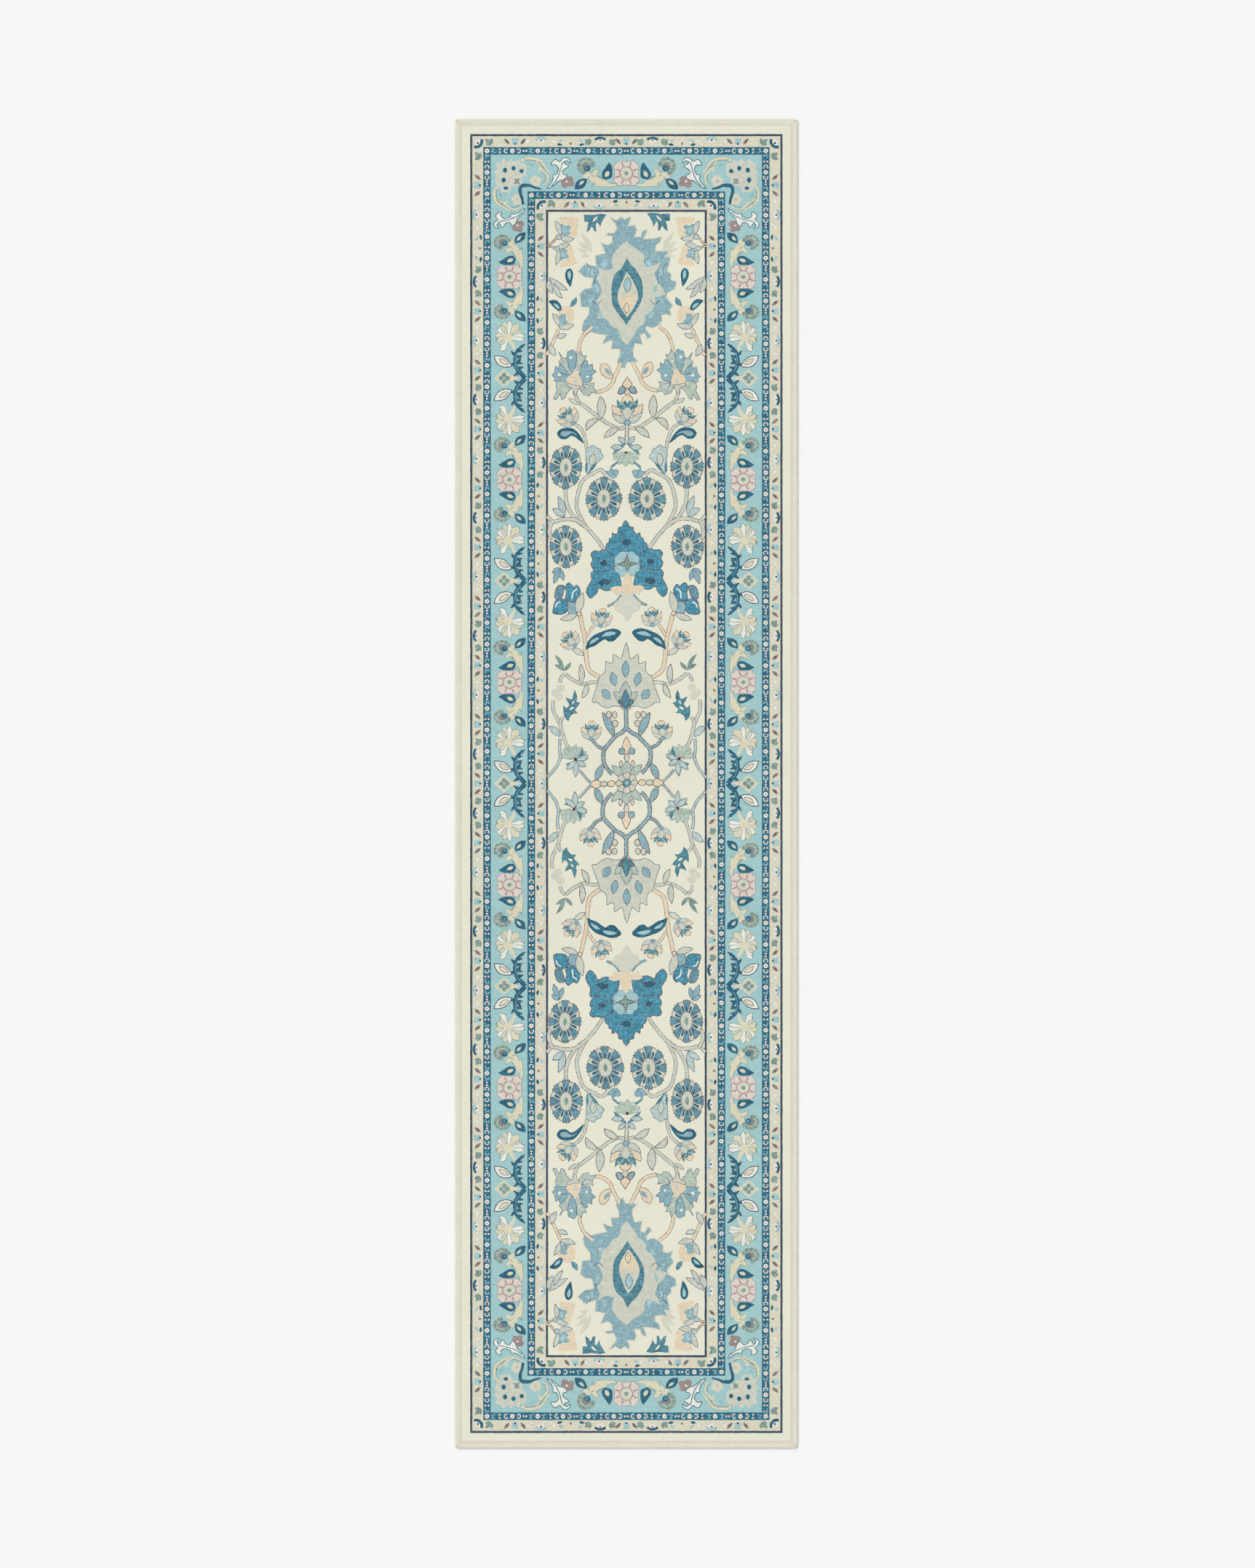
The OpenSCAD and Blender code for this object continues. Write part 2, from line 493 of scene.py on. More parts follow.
@dataclass(frozen=True)
class Rubber(Finish):
    """Soft rubber or latex with a little dust and uneven gloss."""

    colour: Rgb = (216, 216, 212)
    dust: Rgb = (196, 194, 186)
    gloss: float = 0.42

    def surface(self, graph: Graph, place: Socket) -> tuple[Socket, Socket, Socket]:
        """The rubber, as in the base class.

        Args:
            graph: The material's graph.
            place: The object position.

        Returns:
            The colour, the roughness and the height.
        """
        clouds = graph.noise(place, (30, 60, 20), 4)
        specks = graph.noise(place, (1.5, 1.5, 1.5), 2)
        share = graph.clamped(graph.total((clouds, 1.2), (specks, 0.8), (-0.75, 1.0)))
        tint = graph.mix(share, linear(self.colour), linear(self.dust))
        roughness = graph.total((share, 0.3), (self.gloss, 1.0))
        return tint, roughness, graph.total((clouds, 0.6), (specks, 0.4))


PLAIN = {
    IVORY: ("ivory", 0.016, (232, 231, 211)),
    WHITE: ("ivory", 0.05, (234, 233, 223)),
    STONE: ("sand", 0.11, (206, 209, 193)),
    GHOST: ("sand", 0.07, (213, 213, 197)),
    PEACH: ("sand", 0.09, (228, 212, 184)),
    STRAW: ("sand", 0.07, (221, 215, 188)),
    SAGE: ("sky", 0.2, (182, 197, 184)),
    GREEN: ("teal", 0.3, (132, 157, 149)),
    GREY: ("sky", 0.14, (201, 207, 195)),
    SKY: ("sky", 0.2, (164, 199, 202)),
    FROST: ("sky", 0.2, (186, 204, 199)),
    BORDER: ("sky", 0.075, (163, 202, 203)),
    ROSE: ("sand", 0.16, (174, 128, 130)),
    BLUSH: ("sand", 0.08, (220, 212, 202)),
    MAUVE: ("line", 0.16, (140, 134, 132)),
}
MIXED = {
    SAND: ("sand", 0.04, (218, 213, 190), (226, 226, 208), 0.47),
    CHALK: ("sky", 0.2, (140, 174, 182), (172, 198, 202), 0.42),
    DENIM: ("teal", 0.34, (102, 146, 160), (138, 174, 182), 0.40),
    DEEP: ("teal", 0.42, (76, 142, 165), (122, 172, 188), 0.40),
    TEAL: ("teal", 0.42, (84, 134, 148), (124, 164, 172), 0.40),
    STRIPE: ("teal", 0.2, (42, 102, 126), (86, 144, 162), 0.46),
    NAVY: ("teal", 0.4, (50, 101, 123), (84, 130, 148), 0.38),
    SLATE: ("line", 0.16, (58, 80, 98), (104, 92, 104), 0.48),
    INK: ("line", 0.16, (88, 106, 130), (176, 184, 182), 0.42),
    PLUM: ("line", 0.16, (92, 52, 60), (196, 176, 162), 0.44),
}
YARNS = {
    dye: Yarn(f"wool_{dye.value}", colour=colour, slot=f"pile_{slot}", fleck=fleck)
    for dye, (slot, fleck, colour) in PLAIN.items()
} | {
    dye: Yarn(
        f"wool_{dye.value}", colour=colour, slot=f"pile_{slot}", fleck=fleck, accent=accent,
        share=share,
    )
    for dye, (slot, fleck, colour, accent, share) in MIXED.items()
}
TAPE = Weave(
    "cotton_tape", colour=(232, 227, 212), shade=(217, 211, 195), along=0.9, across=0.9,
    relief=0.5, depth=0.0004,
)
THREAD = Weave(
    "polyester_thread", colour=(226, 220, 202), shade=(190, 180, 158), along=0.5, across=0.5,
    relief=0.4, depth=0.0002, sheen=0.3,
)
SATIN = Weave(
    "blank_satin", colour=(240, 240, 236), shade=(222, 222, 216), along=0.4, across=0.5,
    relief=0.2, depth=0.0001, sheen=0.5, specular=0.5,
)
JUTE = Weave(
    "jute_weave", colour=(202, 190, 162), shade=(168, 152, 122), along=3.0, across=3.0,
    relief=0.6, depth=0.0008,
)
BACKING = Felt("needled_fibre", relief=0.5, depth=0.0008)
BEAD = Rubber("clear_silicone", relief=0.15, depth=0.0003, sheen=0.0, specular=0.5)
LATEX = Rubber(
    "cured_latex", colour=(226, 222, 208), dust=(206, 200, 184), gloss=0.6, sheen=0.0,
)


def spline(knots: Sequence[Knot], closed: bool = True, step: float = 2.6) -> Loop:
    """A smooth curve through knots.

    Args:
        knots: Points in millimetres; a third value marks a sharp corner.
        closed: Whether the curve returns to its start.
        step: The longest distance between the curve's points.

    Returns:
        The curve's points.
    """
    count = len(knots)
    curve: Loop = []
    for i in range(count if closed else count - 1):
        one, two = knots[i], knots[(i + 1) % count]
        ends = not closed and (i == 0 or len(one) > 2), not closed and i == count - 2
        before = one if len(one) > 2 or ends[0] else knots[i - 1]
        after = two if len(two) > 2 or ends[1] else knots[(i + 2) % count]
        parts = max(1, round(math.dist(one[:2], two[:2]) / step))
        for k in range(parts):
            t = k / parts
            curve.append(tuple(
                0.5 * (2 * one[c] + (two[c] - before[c]) * t
                       + (2 * before[c] - 5 * one[c] + 4 * two[c] - after[c]) * t * t
                       + (3 * one[c] - before[c] - 3 * two[c] + after[c]) * t ** 3)
                for c in (0, 1)
            ))
    if not closed:
        curve.append((knots[-1][0], knots[-1][1]))
    return curve


def running(points: Sequence[Sequence[float]]) -> list[float]:
    """The distance of each point of a closed line from the first, and last that of a full round."""
    return list(accumulate(map(math.dist, points, points[1:] + points[:1]), initial=0.0))


def area(loop: Loop) -> float:
    """Signed area of a loop, positive when it turns left."""
    return 0.5 * sum(a[0] * b[1] - b[0] * a[1] for a, b in zip(loop, loop[1:] + loop[:1]))


def grown(loop: Loop, by: float) -> Loop:
    """A loop moved outwards along its own normals.

    Args:
        loop: The loop, turning left.
        by: How far it grows, in millimetres; less than 0 shrinks it.

    Returns:
        The new loop.
    """
    result: Loop = []
    count = len(loop)
    for i, (x, y) in enumerate(loop):
        (ax, ay), (bx, by2) = loop[i - 1], loop[(i + 1) % count]
        one = Vector((y - ay, ax - x))
        two = Vector((by2 - y, x - bx))
        one = one.normalized() if one.length > 1e-9 else two.normalized()
        two = two.normalized() if two.length > 1e-9 else one
        both = one + two
        reach = min(2.0 / max(both.length_squared, 0.2), 2.2)
        result.append((x + both.x * reach * by, y + both.y * reach * by))
    return result


def untangled(loop: Loop) -> Loop:
    """A loop whose sides don't cross: at a crossing the greater part is kept.

    Args:
        loop: Any loop.

    Returns:
        The clean loop, turning left.
    """
    count = len(loop)
    for i in range(count):
        a, b = loop[i], loop[(i + 1) % count]
        for j in range(i + 2, count if i else count - 1):
            c, d = loop[j], loop[(j + 1) % count]
            if max(a[0], b[0]) < min(c[0], d[0]) or max(c[0], d[0]) < min(a[0], b[0]):
                continue
            hit = intersect_line_line_2d(a, b, c, d)
            if hit is not None:
                parts = [tuple(hit)] + loop[i + 1:j + 1], [tuple(hit)] + loop[j + 1:] + loop[:i + 1]
                return untangled(max(parts, key=lambda part: abs(area(part))))
    return loop if area(loop) > 0 else loop[::-1]


def inside(point: Point, loop: Loop) -> bool:
    """Whether a point is in a loop.

    Args:
        point: The point.
        loop: The loop.

    Returns:
        True if it is.
    """
    x, y = point
    odd = False
    for (ax, ay), (bx, by) in zip(loop, loop[1:] + loop[:1]):
        if (ay > y) != (by > y) and x < (bx - ax) * (y - ay) / (by - ay) + ax:
            odd = not odd
    return odd


def leaf_loop(base: Point, tip: Point, width: float, bend: float = 0.0, belly: float = 0.5) -> Loop:
    """The outline of a leaf that is pointed at both ends.

    Args:
        base: Where it starts.
        tip: Where it ends.
        width: Its greatest width.
        bend: How far its middle is pushed to the left of the way to the tip.
        belly: Where along it the greatest width lies, from 0 to 1.

    Returns:
        Its loop.
    """
    start, end = Vector(base), Vector(tip)
    way = end - start
    aside = Vector((-way.y, way.x)).normalized()
    handle = (start + end) / 2 + aside * bend * 2
    power = math.log(0.5) / math.log(belly)
    parts = max(5, round(way.length / 2.6))
    left: Loop = []
    right: Loop = []
    for i in range(parts + 1):
        t = i / parts
        spot = start * (1 - t) ** 2 + handle * 2 * t * (1 - t) + end * t * t
        slope = ((handle - start) * (1 - t) + (end - handle) * t).normalized()
        half = width / 2 * math.sin(math.pi * t ** power) ** 0.85 if 0 < i < parts else 0.0
        off = Vector((-slope.y, slope.x)) * half
        left.append(tuple(spot + off))
        right.append(tuple(spot - off))
    return right + left[-2:0:-1]


def ribbon_loop(path: Loop, widths: Callable[[float], float]) -> Loop:
    """The outline of a ribbon along a path.

    Args:
        path: The points of its middle line.
        widths: Its width at a share of its length.

    Returns:
        Its loop.
    """
    left: Loop = []
    right: Loop = []
    last = len(path) - 1
    for i, (x, y) in enumerate(path):
        (ax, ay), (bx, by) = path[max(i - 1, 0)], path[min(i + 1, last)]
        slope = Vector((bx - ax, by - ay)).normalized()
        half = widths(i / last) / 2
        left.append((x - slope.y * half, y + slope.x * half))
        right.append((x + slope.y * half, y - slope.x * half))
    return right + left[::-1]


@dataclass
class Plate:
    """One patch of a dye in the pattern."""

    dye: Dye
    loop: Loop
    level: int = 0

    def moved(self, change: Callable[[Point], Point]) -> "Plate":
        """A copy with every point changed.

        Args:
            change: What happens to a point.

        Returns:
            The copy, turning left.
        """
        loop = [change(p) for p in self.loop]
        return Plate(self.dye, loop if area(loop) > 0 else loop[::-1], self.level)

    def straddles(self, axis: int) -> bool:
        """Whether it lies well across the line where a coordinate is 0."""
        low, high = (f(p[axis] for p in self.loop) for f in (min, max))
        return min(-low, high) > 0.15 * (high - low)

    def middle(self) -> Point:
        """The mean of its points."""
        count = len(self.loop)
        return sum(p[0] for p in self.loop) / count, sum(p[1] for p in self.loop) / count


@dataclass
class Sketch:
    """A drawing in millimetres made of patches, each over the ones before it."""

    plates: list[Plate] = field(default_factory=list)

    def put(
        self, dye: Dye, loop: Loop, edge: Dye | None = None, rim: float = 1.3
    ) -> None:
        """Add a patch, with a rim of another dye round it if that is named.

        Args:
            dye: The patch's dye.
            loop: Its outline.
            edge: The rim's dye.
            rim: The rim's width.
        """
        loop = loop if area(loop) > 0 else loop[::-1]
        if edge is not None:
            self.plates.append(Plate(edge, grown(loop, rim * 0.5)))
            loop = grown(loop, -rim * 0.5)
        self.plates.append(Plate(dye, loop))

    def shape(
        self, dye: Dye, knots: Sequence[Knot], edge: Dye | None = None, rim: float = 1.3,
        smooth: bool = True,
    ) -> None:
        """Add a patch with an outline through knots.

        Args:
            dye: The patch's dye.
            knots: The outline's knots.
            edge: The rim's dye.
            rim: The rim's width.
            smooth: Whether the outline is a curve, or straight from knot to knot.
        """
        sharp = knots if smooth else [(*k[:2], 1) for k in knots]
        self.put(dye, spline(sharp), edge, rim)

    def leaf(
        self, dye: Dye, base: Point, tip: Point, width: float, bend: float = 0.0,
        edge: Dye | None = None, core: Dye | None = None, belly: float = 0.5, rim: float = 1.3,
    ) -> None:
        """Add a pointed leaf.

        Args:
            dye: The leaf's dye.
            base: Where it starts.
            tip: Where it ends.
            width: Its greatest width.
            bend: How far its middle is pushed to the left.
            edge: The rim's dye.
            core: The dye of a smaller leaf in it.
            belly: Where along it the greatest width lies.
            rim: The rim's width.
        """
        self.put(dye, leaf_loop(base, tip, width, bend, belly), edge, rim)
        if core is not None:
            start, end = Vector(base), Vector(tip)
            small = start.lerp(end, 0.22), start.lerp(end, 0.78)
            aside = Vector((-(end - start).y, (end - start).x)).normalized() * bend * 0.68
            one, two = (tuple(p + aside) for p in small)
            self.put(core, leaf_loop(one, two, width * 0.46, bend * 0.3, belly))

    def stem(
        self, dye: Dye, knots: Sequence[Knot], width: float, edge: Dye | None = None,
        taper: float = 1.0, rim: float = 1.3,
    ) -> None:
        """Add a stem along knots.

        Args:
            dye: The stem's dye.
            knots: The knots of its middle line.
            width: Its width where it starts.
            edge: The rim's dye.
            taper: Its width at its end, as a share of the first.
            rim: The rim's width.
        """
        path = spline(knots, closed=False, step=3.2)
        self.put(edge or dye, ribbon_loop(path, lambda t: width * (1 + (taper - 1) * t)))
        if edge is not None:
            inner = width - 2 * rim
            self.put(dye, ribbon_loop(path, lambda t: max(inner * (1 + (taper - 1) * t), 0.5)))

    def vine(self, dye: Dye, knots: Sequence[Knot], width: float) -> None:
        """Add a stem with a fine plum rim."""
        self.stem(dye, knots, width, PLUM, rim=0.9)

    def dot(
        self, dye: Dye, at: Point, across: float, tall: float | None = None,
        edge: Dye | None = None, points: int = 10, rim: float = 1.3,
    ) -> None:
        """Add a round spot.

        Args:
            dye: The spot's dye.
            at: Its middle.
            across: Its width.
            tall: Its height, the width if left out.
            edge: The rim's dye.
            points: The points of its outline.
            rim: The rim's width.
        """
        tall = across if tall is None else tall
        turn = [2 * math.pi * i / points for i in range(points)]
        loop = [(at[0] + across / 2 * math.cos(a), at[1] + tall / 2 * math.sin(a)) for a in turn]
        self.put(dye, loop, edge, rim)

    def petal(
        self, dye: Dye, at: Point, angle: float, near: float, far: float, width: float,
        root: float = 0.35, lobes: int = 1, edge: Dye | None = None, rim: float = 1.3,
        squeeze: float = 1.0,
    ) -> None:
        """Add a petal that widens from a flower's middle to its rounded or toothed end.

        Args:
            dye: The petal's dye.
            at: The flower's middle.
            angle: Its direction in degrees.
            near: Where it starts, from the middle.
            far: Where it ends.
            width: Its greatest width.
            root: Its width where it starts, as a share of the greatest.
            lobes: How many lobes its end has.
            edge: The rim's dye.
            rim: The rim's width.
            squeeze: The flower's width as a share of its height.
        """
        out = far - near
        knots: list[Point] = [(near, -width * root / 2), (near + out * 0.45, -width * 0.40)]
        for k in range(lobes):
            spread = [-0.5 + k / lobes, -0.5 + (k + 0.5) / lobes, -0.5 + (k + 1) / lobes]
            depth = [1 - 1.1 * s * s for s in spread]
            dip = 0.12 if lobes > 1 else 0.0
            first = (near + out * (depth[0] - dip), width * spread[0])
            if k == 0:
                knots.append((near + out * depth[0] * 0.93, width * spread[0]))
            else:
                knots.append(first)
            knots.append((near + out * depth[1], width * spread[1]))
        knots.append((near + out * depth[2] * 0.93, width * spread[2]))
        knots += [(near + out * 0.45, width * 0.40), (near, width * root / 2)]
        sine, cosine = math.sin(math.radians(angle)), math.cos(math.radians(angle))
        loop = [
            (at[0] + (x * cosine - y * sine) * squeeze, at[1] + x * sine + y * cosine)
            for x, y in spline(knots)
        ]
        self.put(dye, loop, edge, rim)

    def stamp(
        self, other: "Sketch", at: Point = (0.0, 0.0), turn: float = 0.0,
        scale: float | tuple[float, float] = 1.0,
    ) -> None:
        """Add a copy of another drawing.

        Args:
            other: The drawing that is copied.
            at: Where its origin goes.
            turn: How far it is turned to the left, in degrees.
            scale: Its size along and across, before it is turned; less than 0 mirrors it.
        """
        wide, tall = scale if isinstance(scale, tuple) else (scale, scale)
        sine, cosine = math.sin(math.radians(turn)), math.cos(math.radians(turn))

        def change(p: Point) -> Point:
            """Move one point into place."""
            x, y = p[0] * wide, p[1] * tall
            return at[0] + x * cosine - y * sine, at[1] + x * sine + y * cosine

        self.plates += [plate.moved(change) for plate in other.plates]

    def settle(self) -> None:
        """Give each patch the lowest level that is above the earlier ones it covers."""
        boxes: list[tuple[float, float, float, float]] = []
        for i, plate in enumerate(self.plates):
            xs, ys = [p[0] for p in plate.loop], [p[1] for p in plate.loop]
            box = (min(xs), min(ys), max(xs), max(ys))
            level = 1
            for other, b in zip(self.plates[:i], boxes):
                apart = box[0] > b[2] or b[0] > box[2] or box[1] > b[3] or b[1] > box[3]
                if apart or other.level < level:
                    continue
                touch = any(inside(p, other.loop) for p in plate.loop)
                if touch or any(inside(p, plate.loop) for p in other.loop):
                    level = other.level + 1
            plate.level = level
            boxes.append(box)

    def mirrored(self) -> "Sketch":
        """The drawing with its reflections in both axes, each patch on an axis once.

        Returns:
            The whole drawing.
        """
        whole = Sketch()
        same, near_axis = 1.6, 95
        seen: dict[Dye, list[tuple[Point, tuple[int, int]]]] = {}
        for plate in self.plates:
            known = seen.setdefault(plate.dye, [])
            for turn in ((1, 1), (-1, 1), (1, -1), (-1, -1)):
                if any(turn[axis] < 0 and plate.straddles(axis) for axis in (0, 1)):
                    continue
                copy = plate.moved(lambda p, a=turn: (p[0] * a[0], p[1] * a[1]))
                middle = copy.middle()
                if any(turn != old and math.dist(middle, at) < same for at, old in known):
                    continue
                whole.plates.append(copy)
                if min(abs(middle[0]), abs(middle[1])) < near_axis:
                    known.append((middle, turn))
        return whole


@dataclass
class Solid:
    """A mesh in the making, in millimetres, with a flat map for each face's corners."""

    points: list[tuple[float, float, float]] = field(default_factory=list)
    faces: list[tuple[int, ...]] = field(default_factory=list)
    places: list[tuple[Point, ...]] = field(default_factory=list)

    def face(self, corners: Sequence[int], places: Sequence[Point]) -> None:
        """Add a face.

        Args:
            corners: Its points, seen turning left from outside.
            places: Across and along for each corner, in millimetres.
        """
        self.faces.append(tuple(corners))
        self.places.append(tuple(places))

    def plate(self, loop: Loop, low: float, high: float) -> None:
        """Add a closed plate with an outline.

        Args:
            loop: The outline, turning left.
            low: The height of its underside.
            high: The height of its face.
        """
        start, count = len(self.points), len(loop)
        self.points += [(x, y, low) for x, y in loop] + [(x, y, high) for x, y in loop]
        inner = grown(loop, -0.5)
        self.face([start + i for i in reversed(range(count))], loop[::-1])
        for i in range(count):
            j = (i + 1) % count
            self.face(
                [start + i, start + j, start + count + j, start + count + i],
                [inner[i], inner[j], loop[j], loop[i]],
            )
        self.face([start + count + i for i in range(count)], loop)

    def sweep(self, rings: Sequence[Sequence[tuple[float, float, float]]], girth: Sequence[float],
              along: Sequence[float], joined: bool = False) -> None:
        """Add a closed skin over rings of points.

        Args:
            rings: The rings, each with as many points.
            girth: The distance round the ring at each point, and once more at its end.
            along: The distance of each ring from the first.
            joined: Whether the last ring meets the first; if not, the ends are closed.
        """
        start, size, count = len(self.points), len(rings[0]), len(rings)
        self.points += [point for ring in rings for point in ring]
        for i in range(count if joined else count - 1):
            far = (i + 1) % count
            s0, s1 = along[i], along[i + 1]
            near_ring, far_ring = start + i * size, start + far * size
            for k in range(size):
                n = (k + 1) % size
                g0, g1 = girth[k], girth[k + 1]
                self.face([near_ring + k, near_ring + n, far_ring + n, far_ring + k],
                          [(g0, s0), (g1, s0), (g1, s1), (g0, s1)])
        if not joined:
            first = [start + k for k in range(size)]
            last = [start + (count - 1) * size + k for k in range(size)]
            self.face(first[::-1], [(girth[k], along[0]) for k in reversed(range(size))])
            self.face(last, [(girth[k], along[-1]) for k in range(size)])

    def finish(
        self, name: str, material: bpy.types.Material, slot: str, nodes: Iterable[str] = (),
        smooth: float = 0.0, outward: bool = True,
    ) -> bpy.types.Object:
        """Make the piece, map it, dress it and let it ride.

        Args:
            name: The piece's name.
            material: Its material.
            slot: A material slot's name; not used.
            nodes: The CAD nodes it stands for.
            smooth: The angle in degrees below which edges look round; 0 leaves it flat.
            outward: Whether the faces are first turned outwards.

        Returns:
            The piece.
        """
        mesh = bpy.data.meshes.new(name)
        mesh.from_pydata([(x * MM, y * MM, z * MM) for x, y, z in self.points], [], self.faces)
        self.map_faces(mesh)
        mesh.materials.append(material)
        piece = bpy.data.objects.new(name, mesh)
        bpy.context.scene.collection.objects.link(piece)
        bpy.ops.object.select_all(action="DESELECT")
        bpy.context.view_layer.objects.active = piece
        piece.select_set(True)
        if outward:
            bpy.ops.object.mode_set(mode="EDIT")
            bpy.ops.mesh.select_all(action="SELECT")
            bpy.ops.mesh.normals_make_consistent(inside=False)
            bpy.ops.object.mode_set(mode="OBJECT")
        if smooth:
            bpy.ops.object.shade_smooth_by_angle(angle=math.radians(smooth))
        piece.select_set(False)
        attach(piece, "root")
        if nodes:
            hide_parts(*nodes)
        LOG.info("%s: %d faces", name, len(mesh.polygons))
        return piece

    def map_faces(self, mesh: bpy.types.Mesh) -> None:
        """Fold the flat map into columns that fill a square.

        Args:
            mesh: The mesh that gets the map.
        """
        flat = [p for face in self.places for p in face]
        (left, right), (low, high) = ((min(side), max(side)) for side in zip(*flat))
        spans = [max(p[1] for p in face) - min(p[1] for p in face) for face in self.places]
        pad = 0.5 * sorted(spans)[int(len(spans) * 0.999)] + 1.0
        wide, tall = right - left, high - low
        columns = max(1, round(math.sqrt(tall / max(wide, 1.0))))
        chunk = tall / columns
        layer = mesh.uv_layers.new(name="OFBake")
        index = 0
        for face in self.places:
            middle = (max(p[1] for p in face) + min(p[1] for p in face)) / 2
            column = min(columns - 1, int((middle - low) / chunk))
            for across, along in face:
                u = (column + 0.01 + 0.98 * (across - left) / wide) / columns
                v = (along - low - column * chunk + pad) / (chunk + 2 * pad)
                layer.data[index].uv = (u, min(max(v, 0.0), 1.0))
                index += 1


def lotus() -> Sketch:
    """A lotus that opens upwards from its calyx, 60 mm tall.

    Returns:
        The drawing, with the calyx at its origin.
    """
    flower = Sketch()
    flower.dot(PEACH, (0, 50), 26, 26, edge=PLUM)
    for hand in (-1, 1):
        flower.leaf(PEACH, (hand * 8, 20), (hand * 34, 42), 17, -hand * 4, PLUM)
    flower.shape(TEAL, [(-24, 54, 1), (-14, 46), (-5, 51, 1), (0, 45), (5, 51, 1), (14, 46), (24, 54, 1),
        (22, 38), (11, 31), (0, 27), (-11, 31), (-22, 38)])
    for hand in (-1, 1):
        flower.stem(SAGE, [(hand * 19, 42), (hand * 11, 44), (hand * 5, 36)], 2.4)
    flower.leaf(STONE, (0, 6), (0, 37), 22, edge=INK, belly=0.6)
    for hand in (-1, 1):
        flower.leaf(GREY, (0, 2), (hand * 34, 24), 14, -hand * 3, INK, belly=0.45)
        flower.leaf(CHALK, (hand * 9, 20), (hand * 17, 30), 4)
    flower.dot(CHALK, (0, 2), 15, 12, edge=INK)
    flower.settle()
    return flower


def wheel(squeeze: float) -> Sketch:
    """A rosette of denim wedges on a scalloped stone disc, with navy drops between them.

    Args:
        squeeze: Its width as a share of its height.

    Returns:
        The drawing, 98 mm tall.
    """
    flower = Sketch()
    middle = (0.0, 0.0)
    sector = 45

    def polar(reach: float, angle: float) -> Knot:
        """A point at a distance from the middle, in the direction of an angle."""
        turn = math.radians(angle)
        return reach * math.cos(turn) * squeeze, reach * math.sin(turn)

    rim = [polar(46.5 - 2.6 * (i % 2), i * 360 / 42) for i in range(42)]
    flower.shape(STONE, rim, PLUM, 1.2)
    toothed = ((18, -10), (45, -13.5), (48.5, -9.5), (45.5, -5), (49, 0), (45.5, 5), (48.5, 9.5),
        (45, 13.5), (18, 10))
    drop = ((19, -5), (34, -5.5), (37.5, 0), (34, 5.5), (19, 5))
    for k in range(8):
        angle = 90 + sector * k
        flower.shape(DENIM, [polar(r, angle + a) for r, a in toothed], PLUM, 0.9, False)
        flower.shape(NAVY, [polar(r, angle + sector / 2 + a) for r, a in drop], None, 0.9, False)
        flower.leaf(NAVY, polar(21, angle), polar(32, angle), 4.0)
    flower.dot(STONE, middle, 36 * squeeze, 42, edge=PLUM, points=14, rim=0.9)
    flower.leaf(GREEN, (0, -10), (1, 10), 9, 1)
    flower.settle()
    return flower


def corner_spray() -> Sketch:
    """A blue flower that leans on a peach one, with two grey leaves at a knot.

    Returns:
        The drawing, with the knot at its origin and the flower up and to the left.
    """
    spray = Sketch()
    spray.shape(PEACH, [(-46, 43), (-41, 41), (-37, 44), (-32, 42), (-27, 45), (-22, 42), (-17, 45),
        (-12, 42), (-7, 45), (-3, 41), (-5, 35), (-9, 29), (-20, 28), (-22, 21), (-24, 11), (-27, -1),
        (-31, 1), (-34, -4), (-37, 0), (-41, -3), (-39, 3), (-43, 8), (-40, 13), (-44, 18), (-41, 23),
        (-46, 28), (-43, 33), (-47, 38)], None, 1.3, False)
    spray.shape(CHALK, [(-24, 26), (-16, 25), (-7, 29), (-4, 21), (-7, 13), (-8, 5), (-19, 3), (-27, 8),
        (-23, 14), (-29, 20)])
    spray.shape(SKY, [(-17, 19), (-10, 21), (-9, 12), (-14, 7), (-20, 10)])
    spray.leaf(GREY, (-5, 3), (6, 36), 12, 2, INK)
    spray.leaf(GREY, (-3, 0), (-35, -5), 13, 2, INK)
    spray.dot(FROST, (-1, 0), 12, edge=INK)
    return spray


